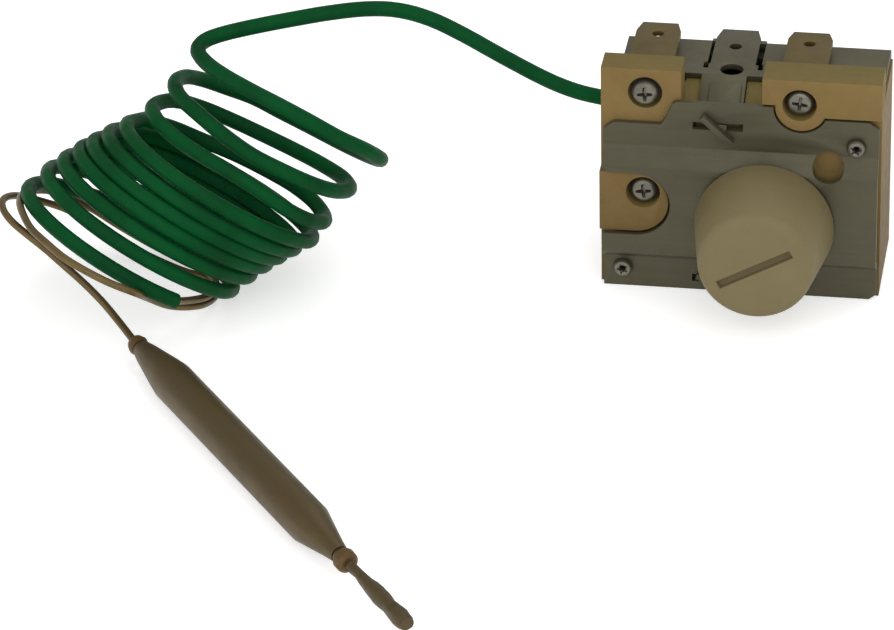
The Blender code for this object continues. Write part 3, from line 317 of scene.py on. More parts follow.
@dataclass(frozen=True)
class CeramicFinish(Finish):
    """Unglazed pressed ceramic with a dry grain, faint clouds and a few dark specks.

    Attributes:
        shadow: Colour of smudges and specks.
        top: Colour of the painted shade on faces that look up, darker for how the light falls on them.
        low: Darker colour towards the foot.
        recess_shade: Colour of the painted shade in the pocket under the earth tab and behind the plate's
            upper slot.
        foot_fade: Heights between which the darker foot colour fades, in metres.
        recess_shade_middle: X of the middle of the pocket and the slot, in metres.
        recess_shade_half: Half of their width, from where the painted shade fades to where it ends.
        pocket_front: Y between which the painted shade of the pocket begins, in metres.
        pocket_floor: Heights between which the painted shade of the pocket begins, in metres.
        slot_level: Height of the slot in metres.
        slot_half: Half of its height, from where the painted shade fades to where it ends.
    """

    shadow: Colour = (0.11, 0.075, 0.028)
    top: Colour = (0.163, 0.122, 0.031)
    low: Colour = (0.125, 0.079, 0.024)
    recess_shade: Colour = (0.012, 0.01, 0.006)
    foot_fade: Range = (0.008, 0.028)
    recess_shade_middle: float = -0.0023
    recess_shade_half: Range = (0.0042, 0.0046)
    pocket_front: Range = (0.0046, 0.0050)
    pocket_floor: Range = (0.004, 0.005)
    slot_level: float = 0.02603
    slot_half: Range = (0.0007, 0.0009)

    def recess_shade_mask(self, graph: Graph) -> bpy.types.NodeSocket:
        """Mark the ceramic that gets painted shade.

        Args:
            graph: Graph of the ceramic.

        Returns:
            1 in the pocket under the earth tab and behind the upper slot, and 0 elsewhere.
        """
        behind = graph.remap(graph.along("Y"), *self.pocket_front)
        above = graph.remap(graph.along("Z"), *self.pocket_floor)
        pocket = graph.math("MULTIPLY", behind, above)
        slot = graph.near("Z", self.slot_level, self.slot_half)
        narrow = graph.near("X", self.recess_shade_middle, self.recess_shade_half)
        return graph.math("MULTIPLY", narrow, graph.math("MAXIMUM", pocket, slot))

    def shade(self, graph: Graph) -> None:
        """Add the ceramic's nodes."""
        clouds = graph.remap(graph.noise(90.0, 4.0, 0.6), 0.35, 0.7)
        # Darker towards the foot
        foot = graph.remap(graph.along("Z"), *self.foot_fade, 0.75, 0.0)
        darker_foot = graph.mix(foot, self.colour, self.low)
        # Painted shade: faces that look up get the darker top colour
        upper = graph.mix(graph.remap(graph.faces_up, 0.3, 0.8), darker_foot, self.top)
        base = graph.mix(graph.math("MULTIPLY", clouds, 0.3), upper, self.low)
        smudge = graph.remap(graph.noise(240.0, 5.0, 0.65), 0.6, 0.8, 0.0, 0.45)
        stained = graph.mix(smudge, base, self.shadow)
        speck = graph.remap(graph.noise(1900.0, 2.0, 0.5), 0.71, 0.78, 0.0, 0.5)
        marked = graph.mix(speck, stained, self.shadow)
        # Painted shade: dark colour in the pocket under the earth tab and behind the upper slot
        graph.put("Base Color", graph.mix(self.recess_shade_mask(graph), marked, self.recess_shade))
        graph.put("Roughness", graph.remap(graph.noise(700.0, 3.0), 0.3, 0.7, self.roughness - 0.08,
                                           self.roughness + 0.1))
        graph.put("Specular IOR Level", 0.35)
        graph.bump(graph.noise(2600.0, 5.0, 0.6), 0.00006, 0.5)
        graph.bump(graph.noise(320.0, 3.0, 0.5), 0.00012, 0.35)


@dataclass(frozen=True)
class MetalFinish(Finish):
    """Metal with drawn or rolled lines, cloudy plating and small scratches.

    Attributes:
        metallic: Share of bare metal.
        painted_top_light: Painted light: brightness of faces that look up against the others.
        contrast: Strength of the rolling lines.
        grain: Stretch of the rolling lines along X, Y and Z.
        stain: Colour of dull patches.
        stain_share: Strength of the dull patches.
        bump: Depth of the rolling lines in metres.
    """

    metallic: float = 0.9
    painted_top_light: float = 1.0
    contrast: float = 0.18
    grain: Triple = (60.0, 1500.0, 1500.0)
    stain: Colour = (0.05, 0.045, 0.03)
    stain_share: float = 0.3
    bump: float = 0.00001

    def shade(self, graph: Graph) -> None:
        """Add the metal's nodes."""
        lines = graph.noise(1.0, 4.0, 0.6, graph.stretched(self.grain))
        clouds = graph.noise(160.0, 5.0, 0.6)
        lighter = tuple(min(1.0, c * (1.0 + self.contrast)) for c in self.colour)
        darker = tuple(c * (1.0 - self.contrast) for c in self.colour)
        base = graph.mix(graph.remap(lines, 0.3, 0.7), darker, lighter)
        # Painted light: faces that look up are made brighter
        painted_top_colour = tuple(c * self.painted_top_light for c in self.colour)
        base = graph.mix(graph.remap(graph.faces_up, 0.5, 0.9), base, painted_top_colour)
        patch = graph.remap(clouds, 0.45, 0.75, 0.0, self.stain_share)
        graph.put("Base Color", graph.mix(patch, base, self.stain))
        graph.put("Metallic", self.metallic)
        scratch = graph.remap(graph.noise(2200.0, 2.0, 0.5), 0.6, 0.75, 0.0, 0.12)
        rough = graph.remap(clouds, 0.3, 0.7, self.roughness - 0.07, self.roughness + 0.1)
        graph.put("Roughness", graph.math("ADD", rough, scratch))
        graph.bump(lines, self.bump, 0.6)
        graph.bump(graph.noise(420.0, 4.0, 0.6), self.bump * 3, 0.35)


@dataclass(frozen=True)
class KnobFinish(Finish):
    """Moulded plastic with a soft sheen, a fine spark texture and a darker ground in the slot.

    Attributes:
        grime: Colour of scuffs.
        slot_ground: Darker colour of the slot's ground.
        slot_centre: Middle of the slot, in metres.
        slot_reach: Distance from the middle to the slot's ends, in metres.
        slot_depth: Y between which the slot's colour begins, in metres.
    """

    grime: Colour = (0.12, 0.1, 0.055)
    slot_ground: Colour = (0.145, 0.113, 0.052)
    slot_centre: Triple = (0.0036, -0.0176, 0.01163)
    slot_reach: float = 0.0063
    slot_depth: Range = (-0.01805, -0.0178)

    def shade(self, graph: Graph) -> None:
        """Add the plastic's nodes."""
        clouds = graph.remap(graph.noise(120.0, 4.0, 0.55), 0.35, 0.7)
        base = graph.mix(clouds, self.colour, tuple(c * 0.93 for c in self.colour))
        rubbed = graph.noise(1.0, 3.0, 0.6, graph.stretched((900.0, 900.0, 260.0)))
        scuffed = graph.mix(graph.remap(rubbed, 0.64, 0.78, 0.0, 0.2), base, self.grime)
        away = graph.node("ShaderNodeVectorMath", {0: graph.place, 1: self.slot_centre}, operation="DISTANCE")
        close = graph.math("LESS_THAN", away.outputs["Value"], self.slot_reach)
        deep = graph.remap(graph.along("Y"), *self.slot_depth)
        # Darker on the slot's ground
        graph.put("Base Color", graph.mix(graph.math("MULTIPLY", close, deep), scuffed, self.slot_ground))
        graph.put("Roughness", graph.remap(graph.noise(500.0, 4.0), 0.3, 0.7, self.roughness - 0.06,
                                           self.roughness + 0.08))
        graph.put("Specular IOR Level", 0.3)
        graph.put("Subsurface Weight", 0.08)
        graph.put("Subsurface Scale", 0.002)
        graph.bump(graph.noise(3200.0, 3.0, 0.5), 0.00002, 0.6)


@dataclass(frozen=True)
class SleeveFinish(Finish):
    """Extruded green sleeve with a soft gloss, faint ripples and dusty scuffs.

    Attributes:
        deep: Colour of its darker patches.
        dust: Colour of dusty scuffs.
    """

    deep: Colour = (0.002, 0.045, 0.012)
    dust: Colour = (0.008, 0.09, 0.028)

    def shade(self, graph: Graph) -> None:
        """Add the sleeve's nodes."""
        clouds = graph.remap(graph.noise(110.0, 4.0, 0.6), 0.3, 0.7)
        base = graph.mix(clouds, self.colour, self.deep)
        dusty = graph.remap(graph.noise(650.0, 5.0, 0.65), 0.55, 0.8, 0.0, 0.25)
        graph.put("Base Color", graph.mix(dusty, base, self.dust))
        graph.put("Roughness", graph.remap(graph.noise(380.0, 4.0), 0.3, 0.7, self.roughness - 0.08,
                                           self.roughness + 0.12))
        graph.put("Specular IOR Level", 0.06)
        graph.bump(graph.noise(900.0, 3.0, 0.5), 0.00003, 0.5)


@dataclass(frozen=True)
class FloorFinish(Finish):
    """Pale matt table top that looks white to the camera and keeps shadows.

    Attributes:
        lift: White added to what the camera, gloss and glass see.
    """

    lift: float = 0.5

    def shade(self, graph: Graph) -> None:
        """Add the table's nodes."""
        speck = graph.remap(graph.noise(60.0, 3.0), 0.3, 0.7)
        graph.put("Base Color", graph.mix(speck, self.colour, tuple(c * 0.985 for c in self.colour)))
        graph.put("Roughness", self.roughness)
        graph.put("Specular IOR Level", 0.1)
        path = graph.tree.nodes.new("ShaderNodeLightPath")
        seen = graph.math("MAXIMUM", path.outputs["Is Camera Ray"], path.outputs["Is Glossy Ray"])
        seen = graph.math("MAXIMUM", seen, path.outputs["Is Transmission Ray"])
        graph.shader.inputs["Emission Color"].default_value = (1.0, 1.0, 1.0, 1.0)
        graph.put("Emission Strength", graph.math("MULTIPLY", seen, self.lift))


CERAMIC = CeramicFinish("ceramic", (0.215, 0.141, 0.043), 0.7)
# The sheet's faces that look up get painted light
SHEET = MetalFinish("sheet_steel", (0.072, 0.065, 0.036), 0.45, metallic=0.45, painted_top_light=1.4, contrast=0.05,
                    grain=(40.0, 2400.0, 2400.0), stain_share=0.2, bump=0.000004)
SCREW = MetalFinish("screw_steel", (0.16, 0.15, 0.12), 0.34, metallic=0.8, grain=(900.0, 900.0, 900.0))
# Painted shade: dark matt finish for the recesses of screws and rivets, the washers and the walls behind
# openings
PAINTED_SHADE = MetalFinish("screw_steel", (0.016, 0.014, 0.009), 0.7, variant="_painted_shade", metallic=0.0)
SPRING = MetalFinish("spring_steel", (0.3, 0.28, 0.22), 0.3, metallic=0.95, stain_share=0.1)
TAB = MetalFinish("tab_metal", (0.13, 0.092, 0.023), 0.45, metallic=0.5, contrast=0.08,
                  grain=(800.0, 90.0, 900.0))
SILVER = MetalFinish("contact_silver", (0.5, 0.49, 0.45), 0.3, metallic=1.0, grain=(900.0, 900.0, 900.0))
CAPSULE = MetalFinish("capsule_steel", (0.35, 0.34, 0.3), 0.28, metallic=1.0, grain=(700.0, 700.0, 700.0))
KNOB = KnobFinish("knob", (0.193, 0.155, 0.073), 0.6)
SLEEVE = SleeveFinish("sleeve", (0.0012, 0.077, 0.018), 0.5)
CAPILLARY = MetalFinish("capillary", (0.13, 0.088, 0.03), 0.42, metallic=0.6, grain=(500.0, 500.0, 500.0))
BULB = MetalFinish("bulb", (0.084, 0.056, 0.017), 0.45, metallic=0.4, contrast=0.12,
                   grain=(300.0, 300.0, 1200.0))
BRAZE = MetalFinish("braze", (0.1, 0.05, 0.007), 0.5, metallic=0.3, grain=(900.0, 900.0, 900.0))
FLOOR = FloorFinish("floor", (0.86, 0.86, 0.85), 0.8)


# Shape helpers
def row_place(point: Triple | Vector) -> Vector:
    """Return a point of the drawing, in millimetres, as a place in the frame in metres."""
    return (Vector(point) + DRAWING_SHIFT) * MM


def smooth_line(knots: list[Vector], per_span: int) -> list[Vector]:
    """Run a smooth curve through points.

    Args:
        knots: Points to pass through.
        per_span: Points made for each pair of neighbours.

    Returns:
        The points of the curve.
    """
    ends = [2 * knots[0] - knots[1], *knots, 2 * knots[-1] - knots[-2]]
    line = []
    for a, b, c, d in zip(ends, ends[1:], ends[2:], ends[3:]):
        for step in range(per_span):
            t = step / per_span
            line.append(0.5 * (2 * b + (c - a) * t + (2 * a - 5 * b + 4 * c - d) * t ** 2
                               + (3 * b - a - 3 * c + d) * t ** 3))
    line.append(knots[-1])
    return line


def new_piece(name: str, data: bpy.types.ID, finish: Finish, body: Body) -> bpy.types.Object:
    """Put a new piece in the scene, dress it and let it ride on a body.

    Args:
        name: Name of the piece.
        data: Mesh or curve.
        finish: Finish to paint it with.
        body: Body that carries it.

    Returns:
        The new object.
    """
    piece = bpy.data.objects.new(name, data)
    bpy.context.scene.collection.objects.link(piece)
    data.materials.clear()
    data.materials.append(finish.material())
    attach(piece, body.value)
    LOG.info("%s rides on %s in %s", name, body.value, finish.slot)
    return piece


def turned(name: str, profile: tuple[Range, ...], x: float, z: float) -> bpy.types.Mesh:
    """Turn a profile about an axis along Y.

    Args:
        name: Name of the mesh.
        profile: Radius and drawing Y of each point, in millimetres.
        x: Drawing X of the axis.
        z: Drawing Z of the axis.

    Returns:
        The mesh, in the frame.
    """
    bm = bmesh.new()
    ring = [bm.verts.new(row_place((x + radius, y, z))) for radius, y in profile]
    edges = [bm.edges.new(pair) for pair in zip(ring, ring[1:])]
    bmesh.ops.spin(bm, geom=ring + edges, cent=row_place((x, 0.0, z)), axis=(0.0, 1.0, 0.0),
                   angle=math.tau, steps=TURNED_STEPS)
    bmesh.ops.remove_doubles(bm, verts=bm.verts, dist=TURNED_WELD)
    return finished_mesh(name, bm)


def loft(name: str, loops: list[list[Vector]], index: int = 0) -> bpy.types.Mesh:
    """Close a solid over loops of places, one after the other.

    Args:
        name: Name of the mesh.
        loops: Rings of as many places each, in metres.
        index: Material index of its faces.

    Returns:
        The mesh.
    """
    bm = bmesh.new()
    rings = [[bm.verts.new(place) for place in ring] for ring in loops]
    bm.faces.new(rings[0])
    bm.faces.new(rings[-1])
    for one, two in zip(rings, rings[1:]):
        for i in range(len(one)):
            bm.faces.new((one[i - 1], one[i], two[i], two[i - 1]))
    for face in bm.faces:
        face.material_index = index
    return finished_mesh(name, bm)


def block(name: str, left: float, right: float, front: float, back: float,
          low: float, high: float) -> bpy.types.Mesh:
    """Make a block between six drawing coordinates.

    Args:
        name: Name of the mesh.
        left: Lowest X.
        right: Highest X.
        front: Lowest Y.
        back: Highest Y.
        low: Lowest Z.
        high: Highest Z.

    Returns:
        The mesh.
    """
    section = ((left, low), (right, low), (right, high), (left, high))
    return loft(name, [[row_place((x, y, z)) for x, z in section] for y in (front, back)])


def finished_mesh(name: str, bm: bmesh.types.BMesh) -> bpy.types.Mesh:
    """Turn a working mesh into a mesh with outward faces and smooth shading."""
    bmesh.ops.recalc_face_normals(bm, faces=bm.faces)
    mesh = bpy.data.meshes.new(name)
    bm.to_mesh(mesh)
    bm.free()
    mesh.shade_smooth()
    mesh.set_sharp_from_angle(angle=CREASE)
    return mesh


def carved(mesh: bpy.types.Mesh, cutter: bpy.types.Mesh) -> bpy.types.Mesh:
    """Cut one mesh out of another, with the cutter's material index on the cut faces.

    Args:
        mesh: Mesh to cut.
        cutter: Mesh to take away.

    Returns:
        The cut mesh.
    """
    pair = [bpy.data.objects.new(data.name, data) for data in (mesh, cutter)]
    for item in pair:
        bpy.context.scene.collection.objects.link(item)
        # Both meshes carry the screw finish and the painted shade, so that the cut faces keep the cutter's
        # index
        for finish in (SCREW, PAINTED_SHADE):
            item.data.materials.append(finish.material())
    cut = pair[0].modifiers.new("cut", "BOOLEAN")
    cut.solver = "EXACT"
    cut.object = pair[1]
    result = bpy.data.meshes.new_from_object(pair[0].evaluated_get(bpy.context.evaluated_depsgraph_get()))
    for item in pair:
        bpy.data.objects.remove(item)
    result.set_sharp_from_angle(angle=CREASE)
    return result


def star(inner: float, outer: float, wings: int, blunt: float, turn: float) -> list[Range]:
    """Return the outline of a star with blunt wings.

    Args:
        inner: Radius between the wings.
        outer: Radius at the tips.
        wings: Number of wings.
        blunt: Half the width of a tip.
        turn: Turn of the first wing in degrees.

    Returns:
        X and Z of each point.
    """
    outline = []
    for wing in range(wings):
        angle = math.radians(turn) + math.tau * wing / wings
        along, across = (math.cos(angle), math.sin(angle)), (-math.sin(angle), math.cos(angle))
        outline += [tuple(outer * a + side * blunt * b for a, b in zip(along, across)) for side in (-1, 1)]
        between = angle + math.pi / wings
        outline.append((inner * math.cos(between), inner * math.sin(between)))
    return outline


@dataclass(frozen=True)
class Fastener:
    """A turned screw or rivet whose head has a star-shaped recess.

    Attributes:
        node: Node that it stands for.
        x: Drawing X of its axis.
        z: Drawing Z of its axis.
        profile: Radius and drawing Y of its outline.
        recess: Inner radius, outer radius, wings, half the tip and turn of the recess.
        mouth: Drawing Y of the recess's mouth.
        depth: Depth of the recess.
        taper: Size of the recess's ground against its mouth.
    """

    node: str
    x: float
    z: float
    profile: tuple[Range, ...]
    recess: tuple[float, float, int, float, float]
    mouth: float
    depth: float
    taper: float

    def build(self) -> None:
        """Turn the fastener, cut its recess and let it stand for the node."""
        outline = star(*self.recess)
        loops = []
        steps = ((self.mouth - CUTTER_REACH, 1.0), (self.mouth, 1.0), (self.mouth + self.depth, self.taper))
        for y, size in steps:
            loops.append([row_place((self.x + u * size, y, self.z + v * size)) for u, v in outline])
        body = turned(f"{self.node}_turned", self.profile, self.x, self.z)
        mesh = carved(body, loft(f"{self.node}_recess", loops, index=1))
        mesh.name = f"{self.node}_surface"
        piece = new_piece(mesh.name, mesh, SCREW, Body.BASE)
        # The recess's faces, on the second material, get painted shade
        mesh.materials.append(PAINTED_SHADE.material())
        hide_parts(self.node)


def pan_screw(place: str, x: float, z: float, seat: float, tip: float, turn: float) -> Fastener:
    """Return a cross-recessed pan-head screw whose head stands above a seat."""
    under, top = seat - HEAD_UNDER, seat - HEAD_TOP
    profile = ((0.0, top), (1.2, top + 0.03), (1.52, top + 0.15), (1.75, top + 0.42), (1.85, top + 0.8),
               (1.85, under), (1.0, under), (1.0, tip), (0.0, tip))
    return Fastener(f"terminal_screw_{place}", x, z, profile, (0.4, 1.12, 4, 0.2, turn), top, 0.8, 0.5)


def hollow_rivet(place: str, x: float, z: float, turn: float) -> Fastener:
    """Return a rivet whose hollow end is rolled over and split."""
    profile = ((0.45, -6.9), (0.45, -10.0), (0.55, -10.3), (0.8, -10.42), (1.08, -10.34), (1.25, -10.12),
               (1.3, -9.82), (0.75, -9.82), (0.75, -6.9), (0.45, -6.9))
    return Fastener(f"rivet_{place}", x, z, profile, (0.5, 0.86, 5, 0.04, turn), -10.42, 0.35, 0.75)


@dataclass(frozen=True)
class Surface:
    """A fine copy of one node of the frame, with softened edges.

    Attributes:
        node: Node that the copy stands for.
        finish: Finish to paint it with.
        body: Body that carries it.
        edge: Width of the softened edges in millimetres, or 0 to leave them sharp.
        sharp: Angle in degrees above which an edge is softened or stays sharp.
        segments: Steps across a softened edge.
        dents: Depth of dents and ripples in millimetres.
    """

    node: str
    finish: Finish
    body: Body = Body.BASE
    edge: float = 0.0
    sharp: float = 35.0
    segments: int = 2
    dents: float = 0.0

    def build(self) -> bpy.types.Object:
        """Make the copy and let it stand for the node.

        Returns:
            The new piece.
        """
        bm = bmesh.new()
        bm.from_mesh(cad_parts[self.node].data)
        bmesh.ops.remove_doubles(bm, verts=bm.verts, dist=COPIED_WELD)
        bmesh.ops.dissolve_limit(bm, angle_limit=FLAT, verts=bm.verts, edges=bm.edges)
        if self.dents:
            bmesh.ops.triangulate(bm, faces=bm.faces)
            bmesh.ops.subdivide_edges(bm, edges=bm.edges, cuts=3)
            for vert in bm.verts:
                depth = 0.5 + 0.5 * noise.noise(vert.co / (DENT_LENGTH * MM))
                vert.co -= vert.normal * depth * self.dents * MM
        limit = math.radians(self.sharp)
        if self.edge:
            corners = [e for e in bm.edges if e.is_manifold and e.calc_face_angle() > limit]
            bmesh.ops.bevel(bm, geom=corners, offset=self.edge * MM, segments=self.segments, profile=0.5,
                            affect="EDGES", clamp_overlap=True)
        mesh = bpy.data.meshes.new(f"{self.node}_surface")
        bm.to_mesh(mesh)
        bm.free()
        mesh.shade_smooth()
        mesh.set_sharp_from_angle(angle=limit)
        piece = new_piece(mesh.name, mesh, self.finish, self.body)
        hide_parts(self.node)
        return piece


# Sub-assemblies
@dataclass
class Housing:
    """Ceramic body, mounting plate, yoke and the rivets between them.

    Lengths and coordinates are the drawing's, in millimetres.

    Attributes:
        surfaces: Pieces that stand for nodes.
        slope_start: Upper end of the middle of the upper strap's slope.
        slope_down: Direction down the slope.
        slope_out: Direction out of the slope.
        pad_half: Half of the pad's width.
        pad_ends: Distances down the slope of the pad's upper and lower end.
        pad_corner: Radius of the pad's upper corners.
        pad_steps: Inset and height of each ring of the pad.
        slot_ends: Left, right, front, back, low and high of the slots' closed rear ends.
        shoulder_spans: Left and right of the ceramic on each side of the strap.
        shoulder_section: Y and Z of the outline of that ceramic.
        shade_walls: Left, right, front, back, low and high of the dark walls of painted shade behind
            openings.
        hole_place: X and Z of the plate's fixing hole.
        ground_radius: Radius of the ceramic seen in the hole.
        ground_depth: Y of its face and of its back.
    """

    surfaces: tuple[Surface | Fastener, ...] = (
        Surface("ceramic_base", CERAMIC, edge=0.35),
        Surface("front_plate", SHEET, edge=0.1),
        Surface("frame", SHEET, edge=0.1),
        hollow_rivet("upper", 16.1, 24.0, 10.0),
        hollow_rivet("lower", -16.5, 3.0, 40.0),
    )
    slope_start: tuple[float, float, float] = (-2.85, -1.3, 29.54)
    slope_down: Vector = field(default_factory=lambda: Vector((0.0, -0.896, -0.443)))
    slope_out: Vector = field(default_factory=lambda: Vector((0.0, -0.443, 0.896)))
    pad_half: float = 2.35
    pad_ends: Range = (1.0, 6.2)
    pad_corner: float = 0.9
    pad_steps: tuple[Range, ...] = ((0.0, 0.36), (0.05, 0.58), (0.28, 0.72))
    slot_ends: tuple[tuple[float, ...], ...] = (
        (-6.0, -5.55, 8.7, 9.55, 29.15, 29.94),
        (0.75, 1.65, 8.7, 9.55, 29.15, 29.94),
    )
    shoulder_spans: tuple[Range, ...] = ((-8.5, -6.45), (0.05, 2.9))
    shoulder_section: tuple[Range, ...] = (
        (-8.3, 25.0), (-8.3, 26.3), (-1.6, 29.05), (-1.0, 29.05), (-1.0, 25.0),
    )
    shade_walls: tuple[tuple[float, ...], ...] = (
        (-6.0, 1.65, 8.9, 9.2, 25.8, 29.1),
        (-8.4, -5.85, -8.3, -7.9, 0.1, 2.5),
    )
    hole_place: Range = (12.3, 21.0)
    ground_radius: float = 1.88
    ground_depth: Range = (-8.38, -8.0)

    def on_slope(self, across: float, down: float, out: float) -> Vector:
        """Find a place on the slope of the upper strap.

        Args:
            across: Distance to the right of its middle.
            down: Distance down the slope.
            out: Distance out of the slope.

        Returns:
            The place in the frame, in metres.
        """
        place = Vector(self.slope_start) + Vector((across, 0.0, 0.0))
        return row_place(place + down * self.slope_down + out * self.slope_out)

    def shoulders(self) -> None:
        """Build the ceramic that slopes up to the yoke on both sides of the strap."""
        for number, (left, right) in enumerate(self.shoulder_spans):
            ends = [[row_place((x, y, z)) for y, z in self.shoulder_section] for x in (left, right)]
            new_piece(f"shoulder_{number}", loft(f"shoulder_{number}", ends), CERAMIC, Body.BASE)

    def backs(self) -> None:
        """Build dark walls of painted shade, seen through the yoke's window and the plate's lower slot."""
        for number, sides in enumerate(self.shade_walls):
            # Painted shade: dark walls where only shade would be seen
            new_piece(f"shade_wall_{number}", block(f"shade_wall_{number}", *sides), PAINTED_SHADE, Body.BASE)

    def strap_pad(self) -> None:
        """Build the rounded stiffening pad that is pressed into the upper strap."""
        loops = []
        for inset, height in self.pad_steps:
            half, corner = self.pad_half - inset, self.pad_corner - inset
            low, high = self.pad_ends[0] + inset, self.pad_ends[1]
            outline = [(half, high), (-half, high)]
            for side, first in ((-1, 180), (1, 270)):
                for step in range(7):
                    angle = math.radians(first + 15 * step)
                    outline.append((side * (half - corner) + corner * math.cos(angle),
                                    low + corner + corner * math.sin(angle)))
            loops.append([self.on_slope(across, down, height) for across, down in outline])
        new_piece("strap_pad", loft("strap_pad", loops), SHEET, Body.BASE)

    def slot_bridges(self) -> None:
        """Close the rear ends of the slots beside the earth tab."""
        for number, sides in enumerate(self.slot_ends):
            new_piece(f"slot_end_{number}", block(f"slot_end_{number}", *sides), SHEET, Body.BASE)

    def hole_ground(self) -> None:
        """Close the ceramic's hole behind the fixing hole, level with its face."""
        face, back = self.ground_depth
        profile = ((0.0, face), (self.ground_radius, face), (self.ground_radius, back), (0.0, back))
        new_piece("hole_ground", turned("hole_ground", profile, *self.hole_place), CERAMIC, Body.BASE)

    def build(self) -> None:
        """Build the housing's pieces."""
        for surface in self.surfaces:
            surface.build()
        self.strap_pad()
        self.slot_bridges()
        self.hole_ground()
        self.shoulders()
        self.backs()


@dataclass
class Terminals:
    """Push-on tabs with their screws and washers.

    Attributes:
        tabs: Nodes of the tabs.
        places: Ends of the washers' names.
        screws: Screws of the tabs.
    """

    tabs: tuple[str, ...] = ("terminal_left", "terminal_right", "terminal_lower")
    places: tuple[str, ...] = ("left", "right", "lower")
    screws: tuple[Fastener, ...] = (
        pan_screw("left", -13.5, 30.2, -6.7, -4.75, 4.0),
        pan_screw("right", 8.1, 30.0, -6.7, -4.75, -8.0),
        pan_screw("lower", -13.55, 15.5, -7.7, -4.9, 6.0),
    )

    def build(self) -> None:
        """Build the terminals' pieces."""
        for tab in self.tabs:
            Surface(tab, TAB, edge=0.08).build()
        for place in self.places:
            # The washers get painted shade, as the dark ring round each screw head
            Surface(f"washer_{place}", PAINTED_SHADE, edge=0.05).build()
        for screw in self.screws:
            screw.build()


@dataclass
class Control:
    """Knob, spindle, bush and the adjuster with its capsule.

    Attributes:
        surfaces: Pieces that stand for nodes.
    """

    surfaces: tuple[Surface, ...] = (
        Surface("knob", KNOB, Body.CONTROL, edge=0.12, sharp=40.0),
        Surface("spindle", SCREW, Body.CONTROL),
        Surface("spindle_bush", SCREW),
        Surface("adjusting_nut", TAB, Body.ADJUSTER, edge=0.1),
        Surface("diaphragm_capsule", CAPSULE, Body.ADJUSTER),
    )

    def build(self) -> None:
        """Build the control's pieces."""
        for surface in self.surfaces:
            surface.build()


@dataclass
class Switch:
    """Push pin, contact blade and contacts.

    Attributes:
        surfaces: Pieces that stand for nodes.
    """

    surfaces: tuple[Surface, ...] = (
        Surface("push_pin", CERAMIC, Body.PIN),
        Surface("contact_blade", SPRING, Body.BLADE),
        Surface("moving_contact", SILVER, Body.BLADE),
        Surface("fixed_contact", SILVER),
        Surface("blade_rivet", TAB),
    )

    def build(self) -> None:
        """Build the switch's pieces."""
        for surface in self.surfaces:
            surface.build()


@dataclass
class Capillary:
    """Sleeved capillary with its close coil, the bare capillary and the bulb.

    Lengths are in millimetres.

    Attributes:
        sleeve_diameter: Outer diameter of the sleeve.
        wire_diameter: Outer diameter of the bare capillary.
        coil_half_width: Half of a close turn's width.
        coil_half_depth: Half of a close turn's depth.
        coil_turns: Number of close turns.
        steps_a_turn: Points made for each turn.
        coil_right: Direction of a turn's width.
        coil_rear: Direction of a turn's depth.
    """

    sleeve_diameter: float = 2.2
    wire_diameter: float = 1.06
    coil_half_width: float = 15.55
    coil_half_depth: float = 15.0
    coil_turns: float = 6.375
    steps_a_turn: int = 48
    coil_right: Vector = field(default_factory=lambda: Vector((0.885, -0.119, -0.451)))
    coil_rear: Vector = field(default_factory=lambda: Vector((-0.047, 0.939, -0.340)))

    def coil_points(self) -> list[Vector]:
        """Work out the close turns.

        Returns:
            Points of the coil in the frame, in metres.
        """
        centres = [Vector(c) for c in TURN_CENTRES]
        centres.append(2 * centres[-1] - centres[-2])
        points = []
        for step in range(round(self.coil_turns * self.steps_a_turn) + 1):
            turn = step / self.steps_a_turn
            whole = min(int(turn), len(centres) - 2)
            centre = centres[whole].lerp(centres[whole + 1], turn - whole)
            angle = math.pi * (1 + 2 * turn)
            around = (math.cos(angle) * self.coil_half_width * self.coil_right
                      + math.sin(angle) * self.coil_half_depth * self.coil_rear)
            points.append(row_place(centre + around))
        return points

    def tube(self, name: str, line: list[Vector], diameter: float, finish: Finish) -> bpy.types.Object:
        """Make a tube along a line.

        Args:
            name: Name of the piece.
            line: Points in the frame, in metres.
            diameter: Outer diameter in millimetres.
            finish: Finish to paint it with.

        Returns:
            The tube as a curve object.
        """
        curve = bpy.data.curves.new(name, "CURVE")
        curve.dimensions = "3D"
        curve.bevel_depth = diameter / 2 * MM
        curve.bevel_resolution = 4
        curve.use_fill_caps = True
        spline = curve.splines.new("POLY")
        spline.points.add(len(line) - 1)
        for point, place in zip(spline.points, line):
            point.co = (*place, 1.0)
        spline.use_smooth = True
        return new_piece(name, curve, finish, Body.BASE)

    def sleeve(self) -> None:
        """Build the sleeved capillary."""
        lead = smooth_line([row_place(p) for p in LEAD_ROUTE], 4)
        line = lead + self.coil_points()
        piece = self.tube("green_sleeve", line, self.sleeve_diameter, SLEEVE)
        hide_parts("sleeve_lead", "sleeve_coil")

    def wire(self) -> None:
        """Build the bare capillary.
        """
        line = smooth_line([self.coil_points()[-1], *map(row_place, WIRE_ROUTE)], 5)
        piece = self.tube("bare_capillary", line, self.wire_diameter, CAPILLARY)
        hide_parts("capillary_tube")

    def build(self) -> None:
        """Build the capillary and the bulb."""
        Surface("exit_ferrule", TAB).build()
        Surface("inner_capillary", CAPILLARY, sharp=60.0).build()
        collar = Surface("bulb_collar_upper", BRAZE).build()
        Surface("bulb_body", BULB).build()
        Surface("bulb_collar_lower", BRAZE, dents=0.15).build()
        Surface("bulb_tail", BULB, dents=0.25).build()
        self.sleeve()
        self.wire()


